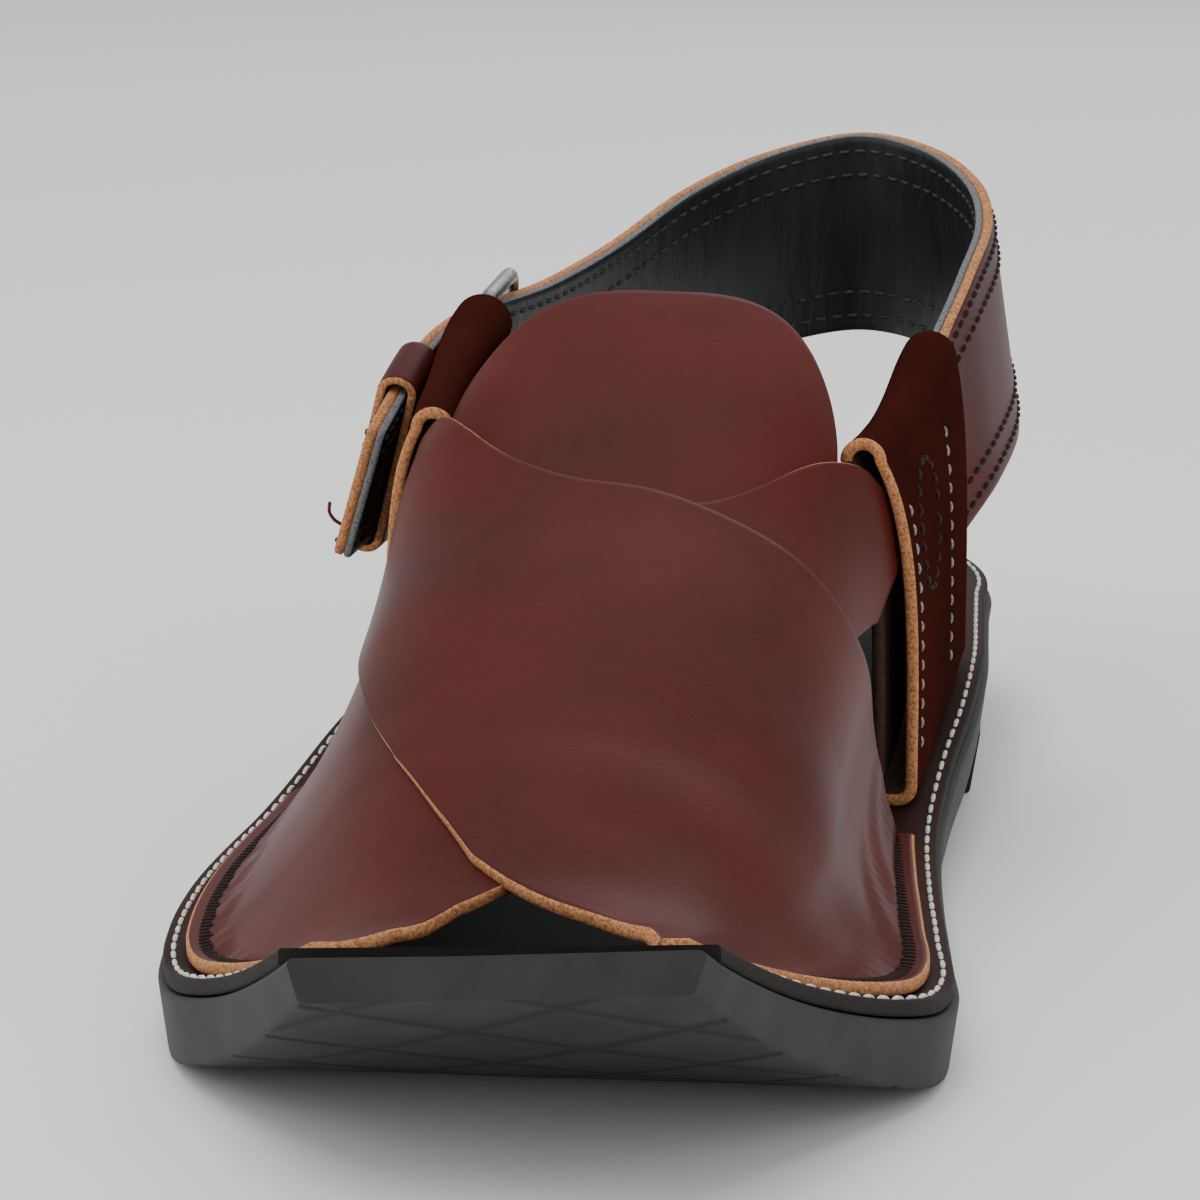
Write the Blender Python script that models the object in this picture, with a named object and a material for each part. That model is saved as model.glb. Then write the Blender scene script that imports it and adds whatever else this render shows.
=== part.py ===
# Crossed-strap leather chappal with a square upturned toe, right shoe.
# Metres, +Z up, toe toward -Y, medial side toward +X.
# The origin is the centre of the heel's ground face.
# Tables give shares of the named sizes, one row for each section of the shoe.

import math

import bmesh
import bpy
import numpy as np

# Sole sizes
SOLE_LENGTH = 0.290
BALL_WIDTH = 0.116
HEEL_CENTRE = 0.865
TOE_SPRING = 0.030
TOE_TANGENT = 0.204
TOE_SKEW = 0.026
RUBBER = 0.0112
RUBBER_TIP = 0.0060
HEEL_LIFT = 0.012
ARCH_START = 0.400
HEEL_BREAST = 0.707
HEEL_DRAFT = 0.0015
SOLE_DRAFT = 0.0012
EDGE_ROUND = 0.0010
PLATFORM = 0.0025
PLATFORM_INSET = 0.0008
PLATFORM_FRONT = 0.017
INSOLE = 0.0025
INSOLE_INSET = 0.006
SEAT = 0.0003

# Upper sizes
LEATHER = 0.0020
LIP_LEATHER = 0.0019
TONGUE_LEATHER = 0.0018
INSTEP_HEIGHT = 0.068
WELT_MARGIN = 0.0085
FLANGE = 0.0042
FUSE = 0.0006
TOE_WELT_GROWTH = 0.35
MEDIAL_FLARE = 0.40
LATERAL_FLARE = 0.72
FLARE_FADE_START = 0.44
FLARE_FADE_END = 0.50
CROWN_X = -0.004
TONGUE_START = 0.235
TONGUE_SHOULDER = 0.448
TONGUE_REACH = 0.120
TONGUE_ROUNDING = 1.3
TONGUE_SQUARE = 0.80
TONGUE_SPREAD = 46.0

# Sleeve sizes
SLEEVE_START = 0.486
SLEEVE_GAP = 0.0035
SLEEVE_FOOT = 0.0040
LIP_REACH = 0.0060
LIP_BEND = 0.0034
MEDIAL_GAP_REAR = 0.0054
MEDIAL_SLEEVE_END = 0.676
LATERAL_SLEEVE_END = 0.625
LATERAL_GAP_REAR = 0.0062

# Heel strap sizes
STRAP_HEIGHT = 0.037
STRAP_THICK = 0.0030
STRAP_TOP = 0.102
STRAP_HALF_WIDTH = 0.362 * BALL_WIDTH

# Keeper sizes
KEEPER_LEATHER = 0.0014
KEEPER_WIDTH = 0.0130
KEEPER_SHARE = 0.568
KEEPER_CLEARANCE = 0.0004

# Buckle sizes
WIRE = 0.0028
BUCKLE_HINGE = 0.660
BUCKLE_LENGTH = 0.022
BUCKLE_HEIGHT = 0.040
CHAPE_LEATHER = 0.0014
CHAPE_HEIGHT = 0.020
CHAPE_BAR_HEIGHT = 0.029
CHAPE_TAPER = 0.009
CHAPE_START = 0.598
CHAPE_DRIFT = 0.0020
CHAPE_PLY_GAP = 0.0003
BUCKLE_BEND = 0.004
PRONG_STEP = 0.005
PRONG_WIRE = 0.0020

# Sole outline: share of the length from the toe, lateral and medial edge as shares of the ball width
OUTLINE = (
    (0.000, -0.181, 0.293),
    (0.083, -0.325, 0.365),
    (0.148, -0.444, 0.436),
    (0.190, -0.491, 0.479),
    (0.231, -0.517, 0.489),
    (0.293, -0.540, 0.461),
    (0.379, -0.548, 0.419),
    (0.469, -0.541, 0.384),
    (0.552, -0.524, 0.375),
    (0.610, -0.500, 0.377),
    (0.690, -0.440, 0.367),
    (0.776, -0.371, 0.340),
    (0.845, -0.332, 0.317),
)
HEEL_ROUND_START = 0.845

# Footbed outline: share from the toe, lateral and medial edge as shares of the ball width
FOOTBED = (
    (0.055, -0.095, 0.170),
    (0.103, -0.205, 0.262),
    (0.172, -0.325, 0.345),
    (0.241, -0.370, 0.370),
    (0.310, -0.380, 0.343),
    (0.379, -0.362, 0.300),
    (0.448, -0.325, 0.255),
    (0.486, -0.300, 0.236),
    (0.580, -0.290, 0.236),
    (0.680, -0.290, 0.240),
    (0.750, -0.300, 0.262),
    (0.845, -0.268, 0.254),
)

# Last: share from the toe, lateral and medial wall (shares of the ball width),
# crown height (share of the instep height), squareness of the lateral and of the medial half
LAST = (
    (0.020, -0.095, 0.190, 0.020, 2.0, 2.0),
    (0.050, -0.135, 0.225, 0.045, 2.0, 2.0),
    (0.086, -0.190, 0.255, 0.150, 2.0, 2.0),
    (0.138, -0.255, 0.290, 0.320, 2.1, 2.1),
    (0.172, -0.285, 0.310, 0.420, 2.2, 2.2),
    (0.241, -0.318, 0.318, 0.545, 2.5, 2.5),
    (0.310, -0.332, 0.300, 0.662, 2.9, 2.9),
    (0.397, -0.343, 0.288, 0.800, 3.6, 3.6),
    (0.448, -0.350, 0.290, 0.900, 4.4, 3.9),
    (0.483, -0.360, 0.300, 0.965, 5.0, 4.1),
    (0.524, -0.362, 0.303, 1.020, 5.0, 4.1),
    (0.569, -0.362, 0.300, 1.065, 5.0, 4.1),
    (0.680, -0.362, 0.290, 1.090, 5.0, 4.1),
)

# Bands over the last: angle from the medial foot (degrees), front and rear edge as shares from the toe
OUTER_BAND = (
    (0.0, 0.032, 0.440),
    (20.0, 0.040, 0.405),
    (50.0, 0.062, 0.385),
    (80.0, 0.090, 0.392),
    (100.0, 0.132, 0.420),
    (125.0, 0.222, 0.473),
    (138.0, 0.287, 0.483),
    (146.0, 0.328, 0.493),
    (163.0, 0.425, 0.565),
)
INNER_BAND = (
    (180.0, 0.036, 0.470),
    (160.0, 0.042, 0.440),
    (130.0, 0.050, 0.410),
    (100.0, 0.060, 0.392),
    (80.0, 0.096, 0.400),
    (55.0, 0.215, 0.460),
    (42.0, 0.300, 0.482),
    (34.0, 0.350, 0.492),
    (18.0, 0.450, 0.560),
)

# Sleeve tops: share from the toe, lateral and medial fold height
# over the platform (shares of the instep height)
SLEEVE_TOPS = (
    (0.486, 0.890, 0.865),
    (0.550, 0.945, 0.850),
    (0.620, 0.945, 0.840),
    (0.680, 0.930, 0.830),
)

# Heel strap: run from the medial sleeve round the heel to the lateral tip.
# Share from the toe, side reach of the middle (share of the half width), height of the top edge
# (share of the strap's highest point), strap height and outward lean of its low edge (shares of the height)
STRAP = (
    (0.645, 0.815, 0.755, 0.86, 0.054),
    (0.665, 0.807, 0.762, 0.90, 0.059),
    (0.695, 0.835, 0.800, 0.94, 0.092),
    (0.750, 0.900, 0.870, 0.98, 0.141),
    (0.828, 0.900, 0.920, 1.00, 0.151),
    (0.903, 0.765, 0.958, 1.00, 0.135),
    (0.962, 0.485, 0.988, 1.00, 0.097),
    (0.985, 0.120, 1.000, 1.00, 0.086),
    (0.967, -0.300, 0.962, 1.00, 0.097),
    (0.917, -0.600, 0.912, 1.00, 0.130),
    (0.845, -0.815, 0.850, 0.98, 0.141),
    (0.760, -0.965, 0.822, 0.95, 0.135),
    (0.700, -1.090, 0.815, 0.90, 0.124),
    (0.650, -1.190, 0.803, 0.85, 0.124),
    (0.590, -1.222, 0.778, 0.74, 0.150),
    (0.505, -1.240, 0.705, 0.56, 0.165),
)

COLLECTION = "Chappal"
CUTTERS = "Chappal cutters"


# Tables and curves

def column(table, at, index):
    """Smooth curve through one column of a table: cubic Hermite with averaged slopes."""
    rows = sorted(table)
    xs = np.array([row[0] for row in rows])
    ys = np.array([row[index] for row in rows])
    slopes = np.gradient(ys, xs)
    at = np.clip(np.asarray(at, dtype=float), xs[0], xs[-1])
    k = np.clip(np.searchsorted(xs, at, side="right") - 1, 0, len(xs) - 2)
    step = xs[k + 1] - xs[k]
    t = (at - xs[k]) / step
    low = (1 + 2 * t) * (1 - t) ** 2 * ys[k] + t * (1 - t) ** 2 * step * slopes[k]
    high = t * t * (3 - 2 * t) * ys[k + 1] + t * t * (t - 1) * step * slopes[k + 1]
    return low + high


def ramp(value, start, end):
    """Smooth step from 0 at start to 1 at end."""
    t = np.clip((np.asarray(value, dtype=float) - start) / (end - start), 0.0, 1.0)
    return t * t * (3.0 - 2.0 * t)


def along(share):
    """Place on the shoe's length of a share counted from the toe."""
    return (np.asarray(share, dtype=float) - HEEL_CENTRE) * SOLE_LENGTH


# Sole form

def toe_lift(share, x):
    """Share of the toe spring: 1 at the tip, 0 behind a tangent line slanted by the side place."""
    tangent = TOE_TANGENT + TOE_SKEW * x / (0.5 * BALL_WIDTH)
    return np.clip((tangent - share) / TOE_TANGENT, 0.0, None)


def underside(share, x):
    """Height of the outsole's underside: toe spring, flat forefoot, arch, heel lift."""
    return TOE_SPRING * toe_lift(share, x) ** 1.5 + HEEL_LIFT * ramp(share, ARCH_START, HEEL_BREAST)


def rubber_top(share, x):
    """Height of the outsole's top face."""
    thinning = np.minimum(toe_lift(share, x), 1.0) ** 1.2
    return underside(share, x) + RUBBER - (RUBBER - RUBBER_TIP) * thinning


def platform_top(share, x):
    """Height of the platform leather's top face."""
    return rubber_top(share, x) + SEAT + PLATFORM


def edges(table, share, round_start, width, inset=0.0, side_inset=None):
    """Lateral and medial edge of an outline, closed at the back by half an ellipse."""
    side_inset = inset if side_inset is None else side_inset
    share = np.asarray(share, dtype=float)
    q = np.clip((share - round_start) / (1.0 - inset / SOLE_LENGTH - round_start), 0.0, 1.0)
    pull = np.sqrt(1.0 - q * q)
    lateral = column(table, share, 1) * width + side_inset
    medial = column(table, share, 2) * width - side_inset
    middle = 0.5 * (lateral + medial)
    return middle + (lateral - middle) * pull, middle + (medial - middle) * pull


def stations(table, start, round_start, inset=0.0, turns=6):
    """Shares of the sections: the table's rows and their middles, then even turns round the heel."""
    rows = [row[0] for row in table if row[0] >= start]
    middles = [0.5 * (a + b) for a, b in zip(rows, rows[1:])]
    fronts = [s for s in (PLATFORM_FRONT, FOOTBED[0][0]) if s >= start]
    straight = sorted(set(rows + middles + fronts + [start]))
    depth = 1.0 - inset / SOLE_LENGTH - round_start
    angles = [math.radians(83.0) * (k + 1) / turns for k in range(turns)]
    turned = [round_start + depth * math.sin(a) for a in angles]
    return np.array([s for s in straight if s <= round_start] + turned)


def slab_rings(share, lateral, medial, low, high, draft, edge):
    """Closed section of a slab at each station; low and high give heights at a share and a side place."""
    middle = 0.5 * (lateral + medial)
    across = (1.0, 0.5, 0.0, -0.5, -1.0)

    def place(k, inset):
        half = medial - middle if k > 0 else middle - lateral
        return middle + k * (half - (inset if abs(k) == 1.0 else 0.0))

    points = [(place(k, edge), high, 0.0) for k in across]
    points.append((lateral, high, -edge))
    points.append((lateral + draft, low, edge))
    points += [(place(k, draft + edge), low, 0.0) for k in reversed(across)]
    points.append((medial - draft, low, edge))
    points.append((medial, high, -edge))
    ring = [np.stack([x, along(share), level(share, x) + shift], axis=-1) for x, level, shift in points]
    return np.stack(ring, axis=1)


# Upper form

def last_point(share, angle):
    """Point of the last: squared arch between the walls, flaring out to the welt at its foot."""
    c, s = np.cos(angle), np.sin(angle)
    power = 2.0 / np.where(c > 0, column(LAST, share, 5), column(LAST, share, 4))
    lateral_edge, medial_edge = edges(OUTLINE, share, HEEL_ROUND_START, BALL_WIDTH)
    slant = 1.0 + TOE_WELT_GROWTH * ramp(share, TOE_TANGENT, 0.0)
    wall = np.where(c > 0, column(LAST, share, 2), column(LAST, share, 1)) * BALL_WIDTH
    foot = np.where(c > 0, medial_edge - WELT_MARGIN * slant, lateral_edge + WELT_MARGIN * slant)
    rise = np.abs(s) ** power
    flare_height = np.where(c > 0, MEDIAL_FLARE, LATERAL_FLARE)
    flare = (foot - wall) * np.clip(1.0 - rise / flare_height, 0.0, 1.0) ** 2
    flare = flare * (1.0 - ramp(share, FLARE_FADE_START, FLARE_FADE_END))
    x = CROWN_X + (wall - CROWN_X) * np.abs(c) ** power + flare
    z = platform_top(share, x) + SEAT + rise * column(LAST, share, 3) * INSTEP_HEIGHT
    return np.stack([x, along(share), z], axis=-1)


def normals(grid):
    """Unit normals of a grid of points, from its steps along rows and columns."""
    across = np.gradient(grid, axis=0)
    down = np.gradient(grid, axis=1)
    normal = np.cross(across, down)
    return normal / np.linalg.norm(normal, axis=-1, keepdims=True)


def wall_x(share, rise, side):
    """Side reach of the last's wall at a share of its crown height, side +1 medial, -1 lateral."""
    n = column(LAST, share, 5 if side > 0 else 4)
    wall = column(LAST, share, 2 if side > 0 else 1) * BALL_WIDTH
    return CROWN_X + (wall - CROWN_X) * (1.0 - np.clip(rise, 0.0, 0.999) ** n) ** (1.0 / n)


def band_grid(table, columns_across, rows_along, lift):
    """Inner face of a band on the last, from its flange at one foot to its end at the other side."""
    start, end = table[0][0], table[-1][0]
    sign = 1.0 if end > start else -1.0
    u = np.linspace(0.0, 1.0, columns_across)
    degrees = start + (end - start) * u
    front = column(table, degrees, 1)
    rear = column(table, degrees, 2)
    v = np.linspace(0.0, 1.0, rows_along)
    share = front[:, None] + (rear - front)[:, None] * v[None, :]
    angle = np.radians(np.broadcast_to(degrees[:, None], share.shape))
    body = last_point(share, angle)
    foot = body[0]
    flange = np.stack([foot + np.array([sign * FLANGE * k, 0.0, 0.0]) for k in (1.0, 0.5)])
    for row in flange:
        row[:, 2] = platform_top(share[0], row[:, 0]) + SEAT
    grid = np.concatenate([flange, body])
    raised = lift * ramp(np.concatenate([[0.0, 0.0], u]), 0.02, 0.14)[:, None]
    far_side = ramp(np.concatenate([[0.0, 0.0], u]), 0.5, 0.6)[:, None]
    share = np.concatenate([share[:1], share[:1], share])
    raised = raised * (1.0 - far_side * ramp(share, SLEEVE_START - 0.035, SLEEVE_START))
    return grid + raised[:, :, None] * outward(grid)


def outward(grid):
    """Normals of a grid turned away from the shoe's inside."""
    normal = normals(grid)
    centre = normal[len(normal) // 2, normal.shape[1] // 2]
    return normal if centre[2] > 0 else -normal


# Mesh building

def material(name, hex_colour, roughness, metallic=0.0):
    """Principled finish from an sRGB hex colour."""
    made = bpy.data.materials.new(name)
    made.use_nodes = True
    shader = made.node_tree.nodes["Principled BSDF"]
    channels = [int(hex_colour[k:k + 2], 16) / 255.0 for k in (0, 2, 4)]
    linear = [c / 12.92 if c <= 0.04045 else ((c + 0.055) / 1.055) ** 2.4 for c in channels]
    shader.inputs["Base Color"].default_value = (*linear, 1.0)
    shader.inputs["Roughness"].default_value = roughness
    shader.inputs["Metallic"].default_value = metallic
    made.diffuse_color = (*linear, 1.0)
    return made


def add_object(name, vertices, faces, finish):
    """Closed mesh object with its faces pointing out."""
    mesh = bpy.data.meshes.new(name)
    mesh.from_pydata([tuple(v) for v in vertices], [], faces)
    bm = bmesh.new()
    bm.from_mesh(mesh)
    bmesh.ops.recalc_face_normals(bm, faces=bm.faces)
    if bm.calc_volume(signed=True) < 0:
        bmesh.ops.reverse_faces(bm, faces=bm.faces)
    bm.to_mesh(mesh)
    bm.free()
    mesh.shade_smooth()
    mesh.set_sharp_from_angle(angle=math.radians(35.0))
    made = bpy.data.objects.new(name, mesh)
    made.data.materials.append(finish)
    bpy.data.collections[COLLECTION].objects.link(made)
    return made


def loft(name, rings, finish):
    """Solid lofted through closed sections, capped at both ends."""
    count, size = rings.shape[:2]
    faces = []
    for i in range(count - 1):
        for j in range(size):
            k = (j + 1) % size
            faces.append((i * size + j, i * size + k, (i + 1) * size + k, (i + 1) * size + j))
    faces.append(tuple(range(size)))
    faces.append(tuple(reversed(range((count - 1) * size, count * size))))
    return add_object(name, rings.reshape(-1, 3), faces, finish)


def sheet(name, inner, outer, finish):
    """Sheet of leather between two grids of points, closed along its four edges."""
    rows, cols = inner.shape[:2]
    half = rows * cols
    faces = []
    for i in range(rows - 1):
        for j in range(cols - 1):
            a, b, c, d = i * cols + j, i * cols + j + 1, (i + 1) * cols + j + 1, (i + 1) * cols + j
            faces.append((a, b, c, d))
            faces.append((half + d, half + c, half + b, half + a))
    rim = [(0, j) for j in range(cols)] + [(i, cols - 1) for i in range(1, rows)]
    rim += [(rows - 1, j) for j in range(cols - 2, -1, -1)] + [(i, 0) for i in range(rows - 2, 0, -1)]
    ids = [i * cols + j for i, j in rim]
    for a, b in zip(ids, ids[1:] + ids[:1]):
        faces.append((a, half + a, half + b, b))
    return add_object(name, np.concatenate([inner.reshape(-1, 3), outer.reshape(-1, 3)]), faces, finish)


def closed_loop(name, inner, outer, finish):
    """Band closed on itself: rows run round the loop and columns across its width."""
    rows, cols = inner.shape[:2]
    half = rows * cols
    faces = []
    for i in range(rows):
        n = (i + 1) % rows
        for j in range(cols - 1):
            a, b, c, d = i * cols + j, i * cols + j + 1, n * cols + j + 1, n * cols + j
            faces.append((a, b, c, d))
            faces.append((half + d, half + c, half + b, half + a))
        for j in (0, cols - 1):
            faces.append((i * cols + j, half + i * cols + j, half + n * cols + j, n * cols + j))
    return add_object(name, np.concatenate([inner.reshape(-1, 3), outer.reshape(-1, 3)]), faces, finish)


def wire(name, points, diameter, finish, cyclic=False, collection=COLLECTION, resolution=2):
    """Round wire along points, made a mesh with its ends closed."""
    curve = bpy.data.curves.new(name, "CURVE")
    curve.dimensions = "3D"
    curve.bevel_depth = 0.5 * diameter
    curve.bevel_resolution = resolution
    curve.use_fill_caps = True
    spline = curve.splines.new("POLY")
    spline.points.add(len(points) - 1)
    for target, point in zip(spline.points, points):
        target.co = (*point, 1.0)
    spline.use_cyclic_u = cyclic
    holder = bpy.data.objects.new(name + " route", curve)
    bpy.data.collections[collection].objects.link(holder)
    bpy.context.view_layer.update()
    evaluated = holder.evaluated_get(bpy.context.evaluated_depsgraph_get())
    mesh = bpy.data.meshes.new_from_object(evaluated)
    bm = bmesh.new()
    bm.from_mesh(mesh)
    bmesh.ops.remove_doubles(bm, verts=bm.verts, dist=1e-6)
    bmesh.ops.recalc_face_normals(bm, faces=bm.faces)
    bm.to_mesh(mesh)
    bm.free()
    made = bpy.data.objects.new(name, mesh)
    made.matrix_world = holder.matrix_world
    made.data.materials.clear()
    made.data.materials.append(finish)
    bpy.data.collections[collection].objects.link(made)
    bpy.data.objects.remove(holder, do_unlink=True)
    return made


def boolean(target, tool, operation):
    """Exact Boolean with a tool that is kept as a hidden cutter."""
    change = target.modifiers.new(operation.title(), "BOOLEAN")
    change.operation = operation
    change.solver = "EXACT"
    change.object = tool
    tool.hide_render = True
    tool.display_type = "WIRE"
    for holder in list(tool.users_collection):
        holder.objects.unlink(tool)
    bpy.data.collections[CUTTERS].objects.link(tool)


# Sole pieces

def make_outsole(finish):
    share = stations(OUTLINE, 0.0, HEEL_ROUND_START)
    lateral, medial = edges(OUTLINE, share, HEEL_ROUND_START, BALL_WIDTH)
    rings = slab_rings(share, lateral, medial, underside, rubber_top, SOLE_DRAFT, EDGE_ROUND)
    return loft("outsole", rings, finish)


def ground(share, x):
    """The heel stands at height zero."""
    return np.zeros_like(share)


def heel_top(share, x):
    """The heel block ends a seat's gap under the outsole."""
    return underside(share, x) - SEAT


def platform_low(share, x):
    """The platform starts a seat's gap over the outsole."""
    return rubber_top(share, x) + SEAT


def insole_low(share, x):
    """The footbed starts a seat's gap over the platform."""
    return platform_top(share, x) + SEAT


def insole_top(share, x):
    """Height of the footbed's top face."""
    return platform_top(share, x) + SEAT + INSOLE


def make_heel(finish):
    share = stations(OUTLINE, HEEL_BREAST + 0.004, HEEL_ROUND_START)
    lateral, medial = edges(OUTLINE, share, HEEL_ROUND_START, BALL_WIDTH)
    inset = SOLE_DRAFT * (1.0 - ramp(share, HEEL_ROUND_START, 1.0))
    rings = slab_rings(share, lateral + inset, medial - inset, ground, heel_top, HEEL_DRAFT, EDGE_ROUND)
    return loft("heel", rings, finish)


def make_platform(finish):
    share = stations(OUTLINE, PLATFORM_FRONT, HEEL_ROUND_START, PLATFORM_INSET)
    lateral, medial = edges(OUTLINE, share, HEEL_ROUND_START, BALL_WIDTH, PLATFORM_INSET)
    rings = slab_rings(share, lateral, medial, platform_low, platform_top, 0.0, 0.3 * EDGE_ROUND)
    return loft("platform", rings, finish)


def make_insole(finish):
    share = stations(OUTLINE, FOOTBED[0][0], HEEL_ROUND_START, INSOLE_INSET)
    lateral, medial = edges(FOOTBED, share, HEEL_ROUND_START, BALL_WIDTH, INSOLE_INSET, 0.0)
    rings = slab_rings(share, lateral, medial, insole_low, insole_top, 0.0, 0.5 * EDGE_ROUND)
    return loft("insole", rings, finish)


# Upper pieces

def make_upper(finish):
    """Two bands crossing over the instep, the outer one stepped over the inner one and joined to it."""
    inner = band_grid(INNER_BAND, 34, 15, 0.0)
    outer = band_grid(OUTER_BAND, 34, 15, LEATHER - FUSE)
    upper = sheet("upper", inner, inner + LEATHER * outward(inner), finish)
    cross = sheet("outer_band", outer, outer + LEATHER * outward(outer), finish)
    boolean(upper, cross, "UNION")
    return upper


def make_tongue(finish):
    """Rounded tab under the bands, arching up over the instep."""
    u = np.linspace(-1.0, 1.0, 19)
    v = np.linspace(0.0, 1.0, 13)
    degrees = 90.0 - u * TONGUE_SPREAD
    fall = np.clip(1.0 - np.abs(u) ** TONGUE_ROUNDING, 0.0, 1.0)
    end = TONGUE_SHOULDER + TONGUE_REACH * fall ** TONGUE_SQUARE
    share = TONGUE_START + (end - TONGUE_START)[:, None] * v[None, :]
    angle = np.radians(np.broadcast_to(degrees[:, None], share.shape))
    face = last_point(share, angle)
    away = outward(face)
    top = face - SEAT * away
    return sheet("tongue", top - TONGUE_LEATHER * away, top, finish)


def sleeve_grids(side, end, gap_rear):
    """Leather folded over a band's end: inner ply, fold at the top, outer ply, foot turned in under it."""
    share = np.linspace(SLEEVE_START, end, 7)
    height = column(SLEEVE_TOPS, share, 2 if side > 0 else 1) * INSTEP_HEIGHT
    crown = column(LAST, share, 3) * INSTEP_HEIGHT
    gap = SLEEVE_GAP + (gap_rear - SLEEVE_GAP) * ramp(share, SLEEVE_START + 0.03, end)
    base = platform_top(share, side * 0.3 * BALL_WIDTH) + SEAT
    spine_top = height - 0.5 * gap - LIP_LEATHER

    def spine(z):
        return wall_x(share, z / crown, side) + side * 0.5 * LEATHER

    faces = []
    for reach in (0.0, LIP_LEATHER):
        radius = 0.5 * gap + reach
        bend = LIP_BEND - LIP_LEATHER + reach
        path = []
        for k in np.linspace(0.0, 1.0, 7):
            z = SLEEVE_FOOT + k * (spine_top - SLEEVE_FOOT)
            path.append((spine(z) - side * radius, base + z))
        for turn in np.radians(np.linspace(150.0, 30.0, 5)):
            path.append((spine(spine_top) + side * radius * math.cos(turn),
                         base + spine_top + radius * math.sin(turn)))
        for k in np.linspace(1.0, 0.0, 7):
            z = LIP_BEND + k * (spine_top - LIP_BEND)
            path.append((spine(z) + side * radius, base + z))
        centre = spine(LIP_BEND) + side * (0.5 * gap + LIP_LEATHER - LIP_BEND)
        for turn in np.radians((30.0, 60.0, 90.0)):
            path.append((centre + side * bend * math.cos(turn), base + LIP_BEND - bend * math.sin(turn)))
        path.append((centre - side * LIP_REACH, base + LIP_BEND - bend))
        points = [np.stack([x, along(share), z], axis=-1) for x, z in path]
        faces.append(np.stack(points))
    return faces


def make_sleeve(name, side, end, gap_rear, finish):
    inner, outer = sleeve_grids(side, end, gap_rear)
    return sheet(name, inner, outer, finish)


# Strap and buckle pieces

def strap_frame(t):
    """Middle line of the heel strap at run t: place, up direction along its height, half height."""
    runs = np.linspace(0.0, 1.0, len(STRAP))
    table = tuple((run, *row) for run, row in zip(runs, STRAP))
    y = along(column(table, t, 1))
    x = column(table, t, 2) * STRAP_HALF_WIDTH
    top = column(table, t, 3) * STRAP_TOP
    height = column(table, t, 4) * STRAP_HEIGHT
    lean = column(table, t, 5) * STRAP_HEIGHT
    return x, y, top, height, lean


def strap_grid(t, rows=4):
    """Middle surface of the strap; its low edge stands further out than its top edge."""
    x, y, top, height, lean = strap_frame(t)
    step = np.stack([np.gradient(x), np.gradient(y)], axis=-1)
    step = step / np.linalg.norm(step, axis=-1, keepdims=True)
    out = np.stack([step[:, 1], -step[:, 0]], axis=-1)
    middle = np.array([0.0, along(0.80)])
    flip = np.sign(np.sum(out * (np.stack([x, y], axis=-1) - middle), axis=-1, keepdims=True))
    out = out * flip
    k = np.linspace(0.0, 1.0, rows)
    px = x[:, None] + out[:, 0:1] * lean[:, None] * (k[None, :] - 0.5)
    py = y[:, None] + out[:, 1:2] * lean[:, None] * (k[None, :] - 0.5)
    pz = top[:, None] - height[:, None] * k[None, :]
    grid = np.stack([px, py, pz], axis=-1)
    away = normals(grid)
    away = away * np.sign(np.sum(away[:, :, :2] * out[:, None, :], axis=-1, keepdims=True))
    return grid, away


def make_heel_strap(finish):
    t = np.linspace(0.0, 1.0, 61)
    grid, away = strap_grid(t)
    return sheet("heel_strap", grid - 0.5 * STRAP_THICK * away, grid + 0.5 * STRAP_THICK * away, finish)


def strap_run(share):
    """Run of the strap at a share from the toe on its lateral side."""
    t = np.linspace(0.55, 1.0, 400)
    y = strap_frame(t)[1]
    return float(np.interp(-along(share), -y, t))


def make_keeper(finish):
    """Leather loop round the strap behind its tip."""
    run = strap_run(KEEPER_SHARE)
    reach = 0.5 * KEEPER_WIDTH / SOLE_LENGTH
    first, last = (strap_station(KEEPER_SHARE + turn * reach)[0] for turn in (-1.0, 1.0))
    stretch = np.linalg.norm(last - first) / KEEPER_WIDTH
    half = 0.5 * abs(strap_run(KEEPER_SHARE + reach) - strap_run(KEEPER_SHARE - reach)) / stretch
    t = np.linspace(run - half, run + half, 4)
    grid, away = strap_grid(t, 2)
    loops = []
    for reach in (KEEPER_CLEARANCE, KEEPER_CLEARANCE + KEEPER_LEATHER):
        side = 0.5 * STRAP_THICK + reach
        rows = []
        for edge, turns in ((0, (-60.0, 0.0, 60.0)), (1, (-60.0, 0.0, 60.0))):
            sign = 1.0 if edge == 0 else -1.0
            down = grid[:, 1] - grid[:, 0]
            down = down / np.linalg.norm(down, axis=-1, keepdims=True)
            base = grid[:, edge]
            rows.append(base + sign * side * away[:, edge])
            for turn in turns:
                a = math.radians(turn)
                rows.append(base - sign * side * 0.8 * math.cos(a) * down
                            - sign * side * math.sin(a) * away[:, edge])
            rows.append(base - sign * side * away[:, edge])
        loops.append(np.stack(rows))
    return closed_loop("keeper", loops[0], loops[1], finish)


def strap_station(share):
    """Frame of the strap's lateral run at a share from the toe: middle, way down its height, way out."""
    run = strap_run(share)
    grid, away = strap_grid(np.array([run - 0.004, run, run + 0.004]), 3)
    down = grid[1, 2] - grid[1, 0]
    return grid[1, 1], down / np.linalg.norm(down), away[1, 1]


def buckle_places():
    """Hinge bar inside the strap and far bar outside it: middle and way down of each."""
    middle, down, away = strap_station(BUCKLE_HINGE)
    hinge = middle - (0.5 * STRAP_THICK + 2.0 * SEAT + CHAPE_LEATHER + 0.5 * WIRE) * away
    middle, far_down, away = strap_station(BUCKLE_HINGE + BUCKLE_LENGTH / SOLE_LENGTH)
    far = middle + (0.5 * STRAP_THICK + SEAT + 0.5 * WIRE) * away
    return (hinge, down), (far, far_down)


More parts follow.
